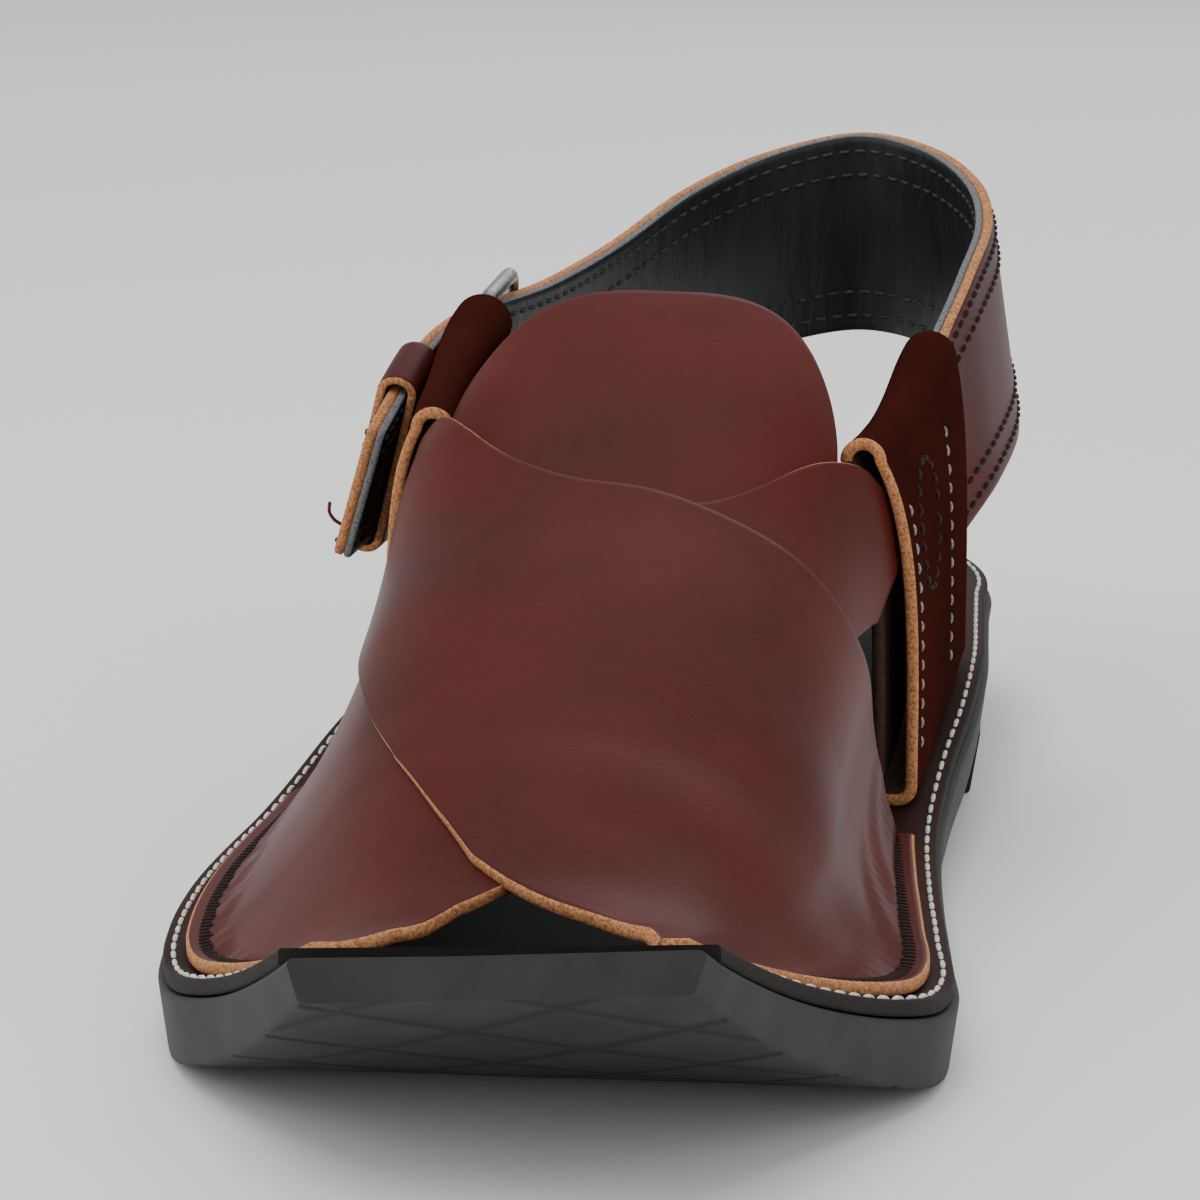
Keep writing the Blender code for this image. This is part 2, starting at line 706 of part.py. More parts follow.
def make_buckle_frame(finish):
    """Frame of round wire with bent corners."""
    (hinge, hinge_down), (far, far_down) = buckle_places()
    half = 0.5 * BUCKLE_HEIGHT
    corners = [hinge - half * hinge_down, far - half * far_down,
               far + half * far_down, hinge + half * hinge_down]
    points = []
    for k, corner in enumerate(corners):
        before = corners[k - 1] - corner
        after = corners[(k + 1) % 4] - corner
        before = before / np.linalg.norm(before)
        after = after / np.linalg.norm(after)
        centre = corner + BUCKLE_BEND * (before + after)
        for turn in np.linspace(0.0, 0.5 * math.pi, 4):
            points.append(centre - BUCKLE_BEND * (after * math.cos(turn) + before * math.sin(turn)))
    return wire("buckle_frame", points, WIRE, finish, cyclic=True)


def make_chape(finish):
    """Leather tab folded round the hinge bar, its two plies held together in the lateral sleeve."""
    hinge, down = buckle_places()[0]
    inner_radius = 0.5 * WIRE + SEAT
    reach = (BUCKLE_HINGE - CHAPE_START) * SOLE_LENGTH
    forward = np.array([0.0, -1.0, 0.0])
    sideways = np.cross(down, forward)
    sideways = sideways / np.linalg.norm(sideways)
    inward = sideways * np.sign(sideways[0])
    steps = np.linspace(1.0, 0.0, 9)
    pinch = (inner_radius - 0.5 * CHAPE_PLY_GAP) * ramp(steps, 0.05, 0.5)
    grids = []
    for radius in (inner_radius, inner_radius + CHAPE_LEATHER):
        straight = list(zip(radius - pinch, steps * reach))[:-1]
        path = [(-a, b) for a, b in straight]
        turns = np.radians(np.linspace(180.0, 0.0, 7))
        path += [(radius * math.cos(turn), -radius * math.sin(turn)) for turn in turns]
        path += [(a, b) for a, b in reversed(straight)]
        rows = []
        for a, b in path:
            centre = hinge + max(b, 0.0) * forward + CHAPE_DRIFT * ramp(b, 0.0, 0.55 * reach) * inward
            turned = centre + min(b, 0.0) * forward + a * sideways
            height = CHAPE_BAR_HEIGHT - (CHAPE_BAR_HEIGHT - CHAPE_HEIGHT) * ramp(b, 0.0, CHAPE_TAPER)
            rows.append([turned + k * height * down for k in (-0.5, 0.0, 0.5)])
        grids.append(np.array(rows))
    return sheet("chape", grids[0], grids[1], finish)


def make_prong(finish):
    """Pin from the hinge bar out through chape and strap to the far bar; returns the slot's cutter."""
    hinge = buckle_places()[0][0]
    far = buckle_places()[1][0]
    middle, _, away = strap_station(BUCKLE_HINGE + PRONG_STEP / SOLE_LENGTH)
    far_out = strap_station(BUCKLE_HINGE + BUCKLE_LENGTH / SOLE_LENGTH)[2]
    clear = 0.5 * (STRAP_THICK + PRONG_WIRE) + SEAT
    tip = far + (0.5 * (WIRE + PRONG_WIRE) + SEAT) * far_out
    back = np.array([0.0, 1.0, 0.0])
    root = hinge + (0.5 * (WIRE + PRONG_WIRE) + SEAT) * back
    bent = middle + PRONG_WIRE * back + clear * away
    points = [root, middle, middle + 0.55 * clear * away + 0.1 * PRONG_WIRE * back, bent,
              0.5 * (bent + tip), tip, tip + PRONG_WIRE * back]
    wire("buckle_prong", points, PRONG_WIRE, finish)
    through = middle + STRAP_THICK * away
    route = [hinge, root, middle, through]
    return wire("prong_slot", route, PRONG_WIRE + 4.0 * SEAT, finish, collection=CUTTERS)


def build():
    for old in list(bpy.data.objects):
        bpy.data.objects.remove(old, do_unlink=True)
    for name in (COLLECTION, CUTTERS):
        made = bpy.data.collections.get(name) or bpy.data.collections.new(name)
        if name not in bpy.context.scene.collection.children:
            bpy.context.scene.collection.children.link(made)
    rubber = material("black_rubber", "25272A", 0.75)
    platform_leather = material("platform_leather", "33211D", 0.6)
    footbed_leather = material("footbed_leather", "1B1B1D", 0.6)
    oxblood = material("oxblood_leather", "57201E", 0.42)
    strap_leather = material("strap_leather", "4A1C1D", 0.42)
    steel = material("steel", "8C8E90", 0.35, 1.0)
    make_outsole(rubber)
    make_heel(rubber)
    make_platform(platform_leather)
    make_insole(footbed_leather)
    make_upper(oxblood)
    make_tongue(oxblood)
    make_sleeve("medial_sleeve", 1.0, MEDIAL_SLEEVE_END, MEDIAL_GAP_REAR, oxblood)
    make_sleeve("lateral_sleeve", -1.0, LATERAL_SLEEVE_END, LATERAL_GAP_REAR, oxblood)
    strap = make_heel_strap(strap_leather)
    make_keeper(oxblood)
    make_buckle_frame(steel)
    chape = make_chape(oxblood)
    slot = make_prong(steel)
    boolean(strap, slot, "DIFFERENCE")
    boolean(chape, slot, "DIFFERENCE")


build()
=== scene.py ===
# %% [markdown]
# A leather chappal, dressed for its portrait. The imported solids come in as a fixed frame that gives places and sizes.
# Each layer is then made again as a finer surface from the same few sizes, so that cut edges, seams and creases can be
# shown. The frame's own box is kept, to compare with the finished shoe.

# %% Frame
import math

import bpy
import bmesh
import numpy as np
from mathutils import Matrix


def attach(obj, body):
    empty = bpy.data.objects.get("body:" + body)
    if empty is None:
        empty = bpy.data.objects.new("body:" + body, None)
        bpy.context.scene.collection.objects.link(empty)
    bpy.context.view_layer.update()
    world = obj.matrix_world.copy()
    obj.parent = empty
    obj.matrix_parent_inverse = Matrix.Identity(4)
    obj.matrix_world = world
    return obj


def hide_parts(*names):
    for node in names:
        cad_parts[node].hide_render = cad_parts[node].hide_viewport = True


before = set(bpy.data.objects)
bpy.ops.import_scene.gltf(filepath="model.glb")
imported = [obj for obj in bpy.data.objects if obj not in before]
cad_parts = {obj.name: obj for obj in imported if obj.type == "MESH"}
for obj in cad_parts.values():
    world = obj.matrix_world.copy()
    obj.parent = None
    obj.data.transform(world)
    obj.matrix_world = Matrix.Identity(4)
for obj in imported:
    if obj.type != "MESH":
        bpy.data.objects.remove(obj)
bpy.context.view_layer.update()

# %% [markdown]
# A shoe is made on a last, so its form is a few curves along the foot. Places along the foot are shares of the sole's
# length counted from the toe, and widths are shares of the ball's width. A handful of rows with a smooth curve through
# them says the same as a thousand points and can be read and changed.

# %% Sizes of the shoe
SOLE_LENGTH = 0.290
BALL_WIDTH = 0.116
HEEL_CENTRE = 0.865
HEEL_ROUND_START = 0.845
TOE_SPRING = 0.030
TOE_TANGENT = 0.204
TOE_SKEW = 0.026
RUBBER = 0.0112
RUBBER_TIP = 0.0060
HEEL_LIFT = 0.012
ARCH_START = 0.400
HEEL_BREAST = 0.707
PLATFORM = 0.0025
PLATFORM_INSET = 0.0008
PLATFORM_FRONT = 0.017
INSOLE = 0.0025
INSOLE_INSET = 0.006
SEAT = 0.0003
LEATHER = 0.0020
LIP_LEATHER = 0.0019
TONGUE_LEATHER = 0.0018
INSTEP_HEIGHT = 0.068
WELT_MARGIN = 0.0085
FLANGE = 0.0042
FUSE = 0.0006
TOE_WELT_GROWTH = 0.35
MEDIAL_FLARE, LATERAL_FLARE = 0.40, 0.72
FLARE_FADE_START, FLARE_FADE_END = 0.44, 0.50
CROWN_X = -0.004

OUTLINE = (
    (0.000, -0.181, 0.293), (0.083, -0.325, 0.365), (0.148, -0.444, 0.436), (0.190, -0.491, 0.479),
    (0.231, -0.517, 0.489), (0.293, -0.540, 0.461), (0.379, -0.548, 0.419), (0.469, -0.541, 0.384),
    (0.552, -0.524, 0.375), (0.610, -0.500, 0.377), (0.690, -0.440, 0.367), (0.776, -0.371, 0.340),
    (0.845, -0.332, 0.317),
)
FOOTBED = (
    (0.055, -0.095, 0.170), (0.103, -0.205, 0.262), (0.172, -0.325, 0.345), (0.241, -0.370, 0.370),
    (0.310, -0.380, 0.343), (0.379, -0.362, 0.300), (0.448, -0.325, 0.255), (0.486, -0.300, 0.236),
    (0.580, -0.290, 0.236), (0.680, -0.290, 0.240), (0.750, -0.300, 0.262), (0.845, -0.268, 0.254),
)
LAST = (
    (0.020, -0.095, 0.190, 0.020, 2.0, 2.0), (0.050, -0.135, 0.225, 0.045, 2.0, 2.0),
    (0.086, -0.190, 0.255, 0.150, 2.0, 2.0), (0.138, -0.255, 0.290, 0.320, 2.1, 2.1),
    (0.172, -0.285, 0.310, 0.420, 2.2, 2.2), (0.241, -0.318, 0.318, 0.545, 2.5, 2.5),
    (0.310, -0.332, 0.300, 0.662, 2.9, 2.9), (0.397, -0.343, 0.288, 0.800, 3.6, 3.6),
    (0.448, -0.350, 0.290, 0.900, 4.4, 3.9), (0.483, -0.360, 0.300, 0.965, 5.0, 4.1),
    (0.524, -0.362, 0.303, 1.020, 5.0, 4.1), (0.569, -0.362, 0.300, 1.065, 5.0, 4.1),
    (0.680, -0.362, 0.290, 1.090, 5.0, 4.1),
)


def column(table, at, index):
    """Cubic Hermite curve through one column of a table, with the slopes averaged at each row."""
    rows = sorted(table)
    xs = np.array([row[0] for row in rows])
    ys = np.array([row[index] for row in rows])
    slopes = np.gradient(ys, xs)
    at = np.clip(np.asarray(at, dtype=float), xs[0], xs[-1])
    k = np.clip(np.searchsorted(xs, at, side="right") - 1, 0, len(xs) - 2)
    step = xs[k + 1] - xs[k]
    t = (at - xs[k]) / step
    low = (1 + 2 * t) * (1 - t) ** 2 * ys[k] + t * (1 - t) ** 2 * step * slopes[k]
    high = t * t * (3 - 2 * t) * ys[k + 1] + t * t * (t - 1) * step * slopes[k + 1]
    return low + high


def ramp(value, start, end):
    """Smooth step: 0 at start, 1 at end, flat at both."""
    t = np.clip((np.asarray(value, dtype=float) - start) / (end - start), 0.0, 1.0)
    return t * t * (3.0 - 2.0 * t)


def along(share):
    """Place on the shoe's length: share less the heel centre's share, times the length."""
    return (np.asarray(share, dtype=float) - HEEL_CENTRE) * SOLE_LENGTH


# %% [markdown]
# A finish starts from what the real surface is. Colours are written as the hex values that a colour picker shows and
# turned to linear light by one function. One small helper adds a shader node, so each material reads as a short recipe.

# %% Colour and nodes

def linear(hex_colour):
    """sRGB hex to linear RGBA by the standard curve."""
    channels = [int(hex_colour[k:k + 2], 16) / 255.0 for k in (0, 2, 4)]
    return (*[c / 12.92 if c <= 0.04045 else ((c + 0.055) / 1.055) ** 2.4 for c in channels], 1.0)


def add(tree, kind, inputs=None, **settings):
    """Adds a node, gives it its settings, and sets or links its inputs."""
    node = tree.nodes.new(kind)
    for name, value in settings.items():
        setattr(node, name, value)
    for name, value in (inputs or {}).items():
        if isinstance(value, bpy.types.NodeSocket):
            tree.links.new(value, node.inputs[name])
        else:
            node.inputs[name].default_value = value
    return node


def blank(name):
    """New material with only its shader; returns it with its tree and shader."""
    made = bpy.data.materials.new(name)
    made.use_nodes = True
    return made, made.node_tree, made.node_tree.nodes["Principled BSDF"]


def two_tone(tree, factor, dark, light, low=0.35, high=0.65):
    """Colour that runs from dark to light as the factor goes from low to high."""
    mapped = add(tree, "ShaderNodeMapRange", {"Value": factor, "From Min": low, "From Max": high})
    return add(tree, "ShaderNodeMix", {0: mapped.outputs[0], 6: linear(dark), 7: linear(light)},
               data_type="RGBA").outputs[2]


# %% [markdown]
# Smooth cowhide is dyed, waxed and brushed. Its colour drifts over two or three centimetres, the grain is a net of
# pores drawn about 0.7 mm apart, and the wax gives a soft, broad shine. Wrinkles are added where the leather is thin
# and bends. The sleeves have no shine and a darker colour, which is painted shade, because they first rendered much
# paler than in the photo.

# %% Leather finishes

def grain_leather(name, dark, light, roughness, mottle_mm=26.0, grain_mm=0.7, grain_depth=0.00006, coat=0.02,
                  gloss=0.12):
    """Dyed cowhide: drifting colour, pore net and waxed shine."""
    made, tree, shader = blank(name)
    place = add(tree, "ShaderNodeTexCoord").outputs["Object"]
    mottle = add(tree, "ShaderNodeTexNoise", {"Vector": place, "Scale": 1000.0 / mottle_mm, "Detail": 5.0,
                                              "Roughness": 0.55}).outputs[0]
    fleck = add(tree, "ShaderNodeTexNoise", {"Vector": place, "Scale": 1000.0 / 1.6, "Detail": 2.0}).outputs[0]
    drift = add(tree, "ShaderNodeMath", {0: fleck, 1: 0.22, 2: -0.11}, operation="MULTIPLY_ADD").outputs[0]
    factor = add(tree, "ShaderNodeMath", {0: mottle, 1: drift}, operation="ADD").outputs[0]
    tree.links.new(two_tone(tree, factor, dark, light, 0.25, 0.75), shader.inputs["Base Color"])
    shine = add(tree, "ShaderNodeMapRange", {"Value": factor, "To Min": roughness - 0.05, "To Max": roughness + 0.06})
    tree.links.new(shine.outputs[0], shader.inputs["Roughness"])
    pores = add(tree, "ShaderNodeTexVoronoi", {"Vector": place, "Scale": 1000.0 / grain_mm}).outputs["Distance"]
    bump = add(tree, "ShaderNodeBump", {"Height": pores, "Strength": 0.35, "Distance": grain_depth})
    tree.links.new(bump.outputs[0], shader.inputs["Normal"])
    shader.inputs["Coat Weight"].default_value = coat
    shader.inputs["Coat Roughness"].default_value = 0.32
    shader.inputs["Specular IOR Level"].default_value = gloss
    return made


def cut_leather(name, dark, light, fibre_mm=0.5):
    """Raw cut edge: matt packed fibres with darker specks of dye."""
    made, tree, shader = blank(name)
    place = add(tree, "ShaderNodeTexCoord").outputs["Object"]
    fibre = add(tree, "ShaderNodeTexNoise", {"Vector": place, "Scale": 1000.0 / fibre_mm, "Detail": 4.0,
                                             "Roughness": 0.7}).outputs[0]
    tree.links.new(two_tone(tree, fibre, dark, light, 0.38, 0.58), shader.inputs["Base Color"])
    bump = add(tree, "ShaderNodeBump", {"Height": fibre, "Strength": 0.7, "Distance": 0.0002})
    tree.links.new(bump.outputs[0], shader.inputs["Normal"])
    shader.inputs["Roughness"].default_value = 0.88
    return made


def wrinkled_lining(name, dark, light, pitch_mm=3.5):
    """Thin lining leather: soft upright wrinkles across the strap's run, read from the sheet's own map in metres."""
    made, tree, shader = blank(name)
    place = add(tree, "ShaderNodeTexCoord").outputs["UV"]
    stretched = add(tree, "ShaderNodeMapping", {"Vector": place, "Scale": (1.0, 0.22, 1.0)}).outputs[0]
    fold = add(tree, "ShaderNodeTexNoise", {"Vector": stretched, "Scale": 1000.0 / pitch_mm, "Detail": 4.0,
                                            "Roughness": 0.6}).outputs[0]
    # The colour follows the wrinkles, darker in their hollows and lighter on their ridges: painted shade and highlight.
    tree.links.new(two_tone(tree, fold, dark, light), shader.inputs["Base Color"])
    bump = add(tree, "ShaderNodeBump", {"Height": fold, "Strength": 0.6, "Distance": 0.0006})
    tree.links.new(bump.outputs[0], shader.inputs["Normal"])
    shader.inputs["Roughness"].default_value = 0.46
    return made


oxblood = grain_leather("waxed_oxblood_cowhide", "421512", "571E19", 0.42)
oxblood_strap = grain_leather("waxed_oxblood_strap_leather", "3B1413", "4C1B18", 0.44)
# The darker colour of the sleeves' leather is painted shade; its dullness is only roughness and no specular.
oxblood_side_painted_shade = grain_leather("dull_oxblood_side_leather_painted_shade", "2E1411", "3F1A16", 0.62, coat=0.0, gloss=0.0)
sole_leather = grain_leather("dark_brown_sole_leather", "21120F", "3A2019", 0.60, grain_mm=0.9, coat=0.0)
footbed_leather = grain_leather("black_footbed_leather", "121214", "1D1D20", 0.58, grain_mm=0.9, coat=0.0)
raw_edge = cut_leather("raw_tan_cut_edge", "8A5230", "C98D5A")
flesh_side = cut_leather("brown_flesh_side", "2A1812", "46291C", 0.9)
tan_suede = cut_leather("tan_suede", "9A6640", "C7956A", 0.8)
lining = wrinkled_lining("black_lining_leather", "101214", "1D2124")
lining_edge = cut_leather("grey_lining_edge", "4A4C4E", "7A7C7D", 0.4)
platform_edge = cut_leather("black_inked_platform_edge", "0E0A09", "1E1613", 0.5)

# %% [markdown]
# The sole is moulded black rubber. It is matt, with a faint grey bloom and fine scuffs. Under the toe its tread shows:
# straight grooves that cross to make diamonds. They are taken as shallow, so they are drawn in the material, as bumps
# with painted shade that makes the grooves near black.

# %% Rubber, steel and thread finishes
TREAD_PITCH = 0.008
TREAD_GROOVE = 0.20


def moulded_rubber():
    """Black rubber; where the face looks down, two sets of slanted tread lines, bumped and darkened as painted shade.
    """
    made, tree, shader = blank("moulded_black_rubber")
    place = add(tree, "ShaderNodeTexCoord").outputs["Object"]
    bloom = add(tree, "ShaderNodeTexNoise", {"Vector": place, "Scale": 1000.0 / 9.0, "Detail": 6.0}).outputs[0]
    base = two_tone(tree, bloom, "1C1C1C", "282829")
    axes = add(tree, "ShaderNodeSeparateXYZ", {0: place})
    lines = []
    for slope in (0.55, -0.55):
        slant = add(tree, "ShaderNodeMath", {0: axes.outputs[0], 1: slope, 2: axes.outputs[1]},
                    operation="MULTIPLY_ADD").outputs[0]
        turns = add(tree, "ShaderNodeMath", {0: slant, 1: 1.0 / TREAD_PITCH}, operation="MULTIPLY").outputs[0]
        saw = add(tree, "ShaderNodeMath", {0: turns, 1: 1.0}, operation="PINGPONG").outputs[0]
        line = add(tree, "ShaderNodeMapRange", {"Value": saw, "From Min": 0.0, "From Max": TREAD_GROOVE})
        lines.append(line.outputs[0])
    tread = add(tree, "ShaderNodeMath", {0: lines[0], 1: lines[1]}, operation="MINIMUM").outputs[0]
    facing = add(tree, "ShaderNodeNewGeometry").outputs["Normal"]
    down = add(tree, "ShaderNodeSeparateXYZ", {0: facing}).outputs[2]
    under = add(tree, "ShaderNodeMapRange", {"Value": down, "From Min": -0.55, "From Max": -0.70}).outputs[0]
    groove = add(tree, "ShaderNodeMath", {0: tread, 1: -1.0, 2: 1.0}, operation="MULTIPLY_ADD").outputs[0]
    cut = add(tree, "ShaderNodeMath", {0: groove, 1: under}, operation="MULTIPLY").outputs[0]
    # The grooves are painted near black: this is painted shade in the grooves.
    colour = add(tree, "ShaderNodeMix", {0: cut, 6: base, 7: linear("040505")}, data_type="RGBA").outputs[2]
    tree.links.new(colour, shader.inputs["Base Color"])
    level = add(tree, "ShaderNodeMath", {0: cut, 1: -1.0}, operation="MULTIPLY").outputs[0]
    deep = add(tree, "ShaderNodeBump", {"Height": level, "Strength": 1.0, "Distance": 0.0008})
    grit = add(tree, "ShaderNodeTexNoise", {"Vector": place, "Scale": 1000.0 / 0.8, "Detail": 3.0}).outputs[0]
    bump = add(tree, "ShaderNodeBump", {"Height": grit, "Strength": 0.4, "Distance": 0.00015,
                                        "Normal": deep.outputs[0]})
    tree.links.new(bump.outputs[0], shader.inputs["Normal"])
    shader.inputs["Roughness"].default_value = 0.68
    return made


def brushed_steel():
    """Plated steel wire: brushing marks vary the roughness."""
    made, tree, shader = blank("grey_plated_steel")
    place = add(tree, "ShaderNodeTexCoord").outputs["Object"]
    marks = add(tree, "ShaderNodeTexNoise", {"Vector": place, "Scale": 1000.0 / 0.6, "Detail": 3.0}).outputs[0]
    tree.links.new(two_tone(tree, marks, "7B7D7F", "A4A6A8"), shader.inputs["Base Color"])
    shine = add(tree, "ShaderNodeMapRange", {"Value": marks, "To Min": 0.24, "To Max": 0.42}).outputs[0]
    tree.links.new(shine, shader.inputs["Roughness"])
    shader.inputs["Metallic"].default_value = 1.0
    return made


def twisted_thread(name, dark, light):
    """Waxed thread: the ply twist shows as fine light and dark."""
    made, tree, shader = blank(name)
    place = add(tree, "ShaderNodeTexCoord").outputs["Object"]
    ply = add(tree, "ShaderNodeTexNoise", {"Vector": place, "Scale": 1000.0 / 0.5, "Detail": 2.0}).outputs[0]
    tree.links.new(two_tone(tree, ply, dark, light), shader.inputs["Base Color"])
    bump = add(tree, "ShaderNodeBump", {"Height": ply, "Strength": 0.5, "Distance": 0.0001})
    tree.links.new(bump.outputs[0], shader.inputs["Normal"])
    shader.inputs["Roughness"].default_value = 0.62
    shader.inputs["Specular IOR Level"].default_value = 0.20
    return made


rubber = moulded_rubber()
steel = brushed_steel()
white_thread = twisted_thread("white_waxed_thread", "BDBAB2", "F1EFE9")
grey_thread = twisted_thread("grey_waxed_thread", "77736D", "A39E96")
dark_thread = twisted_thread("dark_waxed_thread", "150C0B", "2C1614")
lining_thread = twisted_thread("dark_grey_lining_thread", "26282A", "434648")
maroon_thread = twisted_thread("maroon_thread", "4A1018", "74202C")
print("finishes made:", len(bpy.data.materials))

# %% [markdown]
# The sole is a stack of four slabs: a rubber heel, a rubber outsole, a sole leather platform and a footbed. Each is one
# closed section carried from toe to heel. The heights follow the toe's upturn, the arch and the heel's lift, so the
# layers sit on one another by construction.

# %% Sole heights

def toe_lift(share, x):
    """1 at the tip and 0 behind a tangent line that is slanted by the side place."""
    tangent = TOE_TANGENT + TOE_SKEW * x / (0.5 * BALL_WIDTH)
    return np.clip((tangent - share) / TOE_TANGENT, 0.0, None)


def underside(share, x):
    """Toe spring times its lift to the power 1.5, plus the heel lift over the arch."""
    return TOE_SPRING * toe_lift(share, x) ** 1.5 + HEEL_LIFT * ramp(share, ARCH_START, HEEL_BREAST)


def rubber_top(share, x):
    """Underside plus the rubber, which thins toward the tip."""
    thinning = np.minimum(toe_lift(share, x), 1.0) ** 1.2
    return underside(share, x) + RUBBER - (RUBBER - RUBBER_TIP) * thinning


def platform_top(share, x):
    """Rubber top plus the seat and the platform's thickness."""
    return rubber_top(share, x) + SEAT + PLATFORM


def edges(table, share, inset=0.0, side_inset=0.0):
    """Lateral and medial edge of an outline, with half an ellipse round the heel."""
    share = np.asarray(share, dtype=float)
    q = np.clip((share - HEEL_ROUND_START) / (1.0 - inset / SOLE_LENGTH - HEEL_ROUND_START), 0.0, 1.0)
    pull = np.sqrt(1.0 - q * q)
    lateral = column(table, share, 1) * BALL_WIDTH + side_inset
    medial = column(table, share, 2) * BALL_WIDTH - side_inset
    middle = 0.5 * (lateral + medial)
    return middle + (lateral - middle) * pull, middle + (medial - middle) * pull


# %% Mesh from arrays

def finish_mesh(name, points, faces, finishes, face_finish=None, maps=None, node_names=()):
    """Closed mesh facing out, riding on the shoe and standing for the named solids."""
    mesh = bpy.data.meshes.new(name)
    mesh.from_pydata(points.tolist(), [], faces)
    for finish in finishes:
        mesh.materials.append(finish)
    if face_finish is not None:
        mesh.polygons.foreach_set("material_index", np.asarray(face_finish, dtype=np.int32))
    bm = bmesh.new()
    bm.from_mesh(mesh)
    bmesh.ops.recalc_face_normals(bm, faces=bm.faces)
    if bm.calc_volume(signed=True) < 0:
        bmesh.ops.reverse_faces(bm, faces=bm.faces)
    bm.to_mesh(mesh)
    bm.free()
    if maps is not None:
        corners = np.empty(len(mesh.loops), dtype=np.int32)
        mesh.loops.foreach_get("vertex_index", corners)
        mesh.uv_layers.new(name="leather_map").data.foreach_set("uv", maps[corners].ravel())
    mesh.shade_smooth()
    made = bpy.data.objects.new(name, mesh)
    bpy.context.scene.collection.objects.link(made)
    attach(made, "root")
    if node_names:
        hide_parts(*node_names)
    return made


def slab(name, table, start, low, high, finish, node, inset=0.0, side_inset=0.0, draft=0.0, corner=0.001,
         edge_finish=None):
    """Section with rounded corners carried along the shoe; each ring point is a side place, a pull-in and a level.

    The faces between the two flats, and the caps, take the edge finish where there is one."""
    turn = np.radians((30.0, 60.0, 90.0))
    flat = np.linspace(1.0, -1.0, 27)
    ones, arc_in, arc_down = np.ones(3), corner * (1.0 - np.sin(turn)), corner * (1.0 - np.cos(turn))
    side = np.concatenate([flat, -ones, -ones, -flat, ones, ones])
    pull = np.concatenate([flat * 0 + corner, arc_in, draft + arc_in[::-1], flat * 0 + draft + corner,
                           draft + arc_in, arc_in[::-1]])
    drop = np.concatenate([flat * 0, -arc_down, arc_down[::-1], flat * 0, arc_down, -arc_down[::-1]])
    top = np.concatenate([flat * 0 + 1, ones, 0 * ones, flat * 0, 0 * ones, ones])
    depth = 1.0 - inset / SOLE_LENGTH - HEEL_ROUND_START
    share = np.concatenate([np.linspace(start, HEEL_ROUND_START, 130),
                            HEEL_ROUND_START + depth * np.sin(np.radians(np.linspace(3.0, 87.0, 34)))])
    lateral, medial = edges(table, share, inset, side_inset)
    middle, half = 0.5 * (lateral + medial), 0.5 * (medial - lateral)
    across = np.maximum(half[:, None] - pull[None, :], 0.1 * half[:, None])
    x = middle[:, None] + side[None, :] * across
    s = np.broadcast_to(share[:, None], x.shape)
    z = np.where(top[None, :] > 0.5, high(s, x), low(s, x)) + drop[None, :]
    points = np.stack([x, along(s), z], axis=-1)
    rows, cols = x.shape
    i, j = np.meshgrid(np.arange(rows - 1), np.arange(cols), indexing="ij")
    n = (j + 1) % cols
    quads = np.stack([i * cols + j, i * cols + n, (i + 1) * cols + n, (i + 1) * cols + j], axis=-1).reshape(-1, 4)
    caps = [list(range(cols)), list(range((rows - 1) * cols, rows * cols))]
    on_flat = (j.ravel() < len(flat) - 1) | ((j.ravel() >= len(flat) + 6) & (j.ravel() < 2 * len(flat) + 5))
    kinds = np.concatenate([np.where(on_flat, 0, 1), [1, 1]]) if edge_finish else None
    finishes = [finish, edge_finish] if edge_finish else [finish]
    made = finish_mesh(name, points.reshape(-1, 3), quads.tolist() + caps, finishes, kinds, node_names=(node,))
    made.data.set_sharp_from_angle(angle=math.radians(40.0))
    return made


# %% Sole pieces
SOLE_CORNER = 0.0010
SOLE_DRAFT = 0.0012
HEEL_DRAFT = 0.0015
HEEL_START = HEEL_BREAST + 0.004

slab("rubber_outsole", OUTLINE, 0.0, underside, rubber_top, rubber, "outsole", draft=SOLE_DRAFT, corner=SOLE_CORNER)
slab("rubber_heel", OUTLINE, HEEL_START, lambda s, x: 0.0 * s, lambda s, x: underside(s, x) - SEAT, rubber, "heel",
     side_inset=SOLE_DRAFT, draft=HEEL_DRAFT, corner=SOLE_CORNER)
slab("leather_platform", OUTLINE, PLATFORM_FRONT, lambda s, x: rubber_top(s, x) + SEAT, platform_top, sole_leather,
     "platform", inset=PLATFORM_INSET, side_inset=PLATFORM_INSET, corner=0.0005, edge_finish=platform_edge)
slab("leather_footbed", FOOTBED, FOOTBED[0][0], lambda s, x: platform_top(s, x) + SEAT,
     lambda s, x: platform_top(s, x) + SEAT + INSOLE, footbed_leather, "insole", inset=INSOLE_INSET, corner=0.0006)
print("sole layers made")

# %% [markdown]
# Upper leather is a sheet about two millimetres thick. Its outer face is dyed, its inner face is rough and
# its cut edge shows the tan core. So each sheet here is two grids of points joined by a softly rounded rim, with a
# finish for each. The sheet also keeps a map in metres that unrolls it, for patterns that follow the leather.

# %% Leather sheets
RIM_SOFTNESS = 0.00045


def unit(vectors):
    """Vectors divided by their lengths."""
    return vectors / np.maximum(np.linalg.norm(vectors, axis=-1, keepdims=True), 1e-12)


def normals(grid):
    """Cross product of a grid's steps along its rows and columns, made unit length."""
    return unit(np.cross(np.gradient(grid, axis=0), np.gradient(grid, axis=1)))


def outward(grid):
    """Normals turned away from the shoe's inside, judged at the middle of the grid."""
    normal = normals(grid)
    return normal if normal[len(normal) // 2, normal.shape[1] // 2][2] > 0 else -normal


def spread(grid):
    """Directions that point out of the sheet at its border, and zero inside."""
    pull = np.zeros_like(grid)
    pull[0] += unit(grid[0] - grid[1])
    pull[-1] += unit(grid[-1] - grid[-2])
    pull[:, 0] += unit(grid[:, 0] - grid[:, 1])
    pull[:, -1] += unit(grid[:, -1] - grid[:, -2])
    return pull


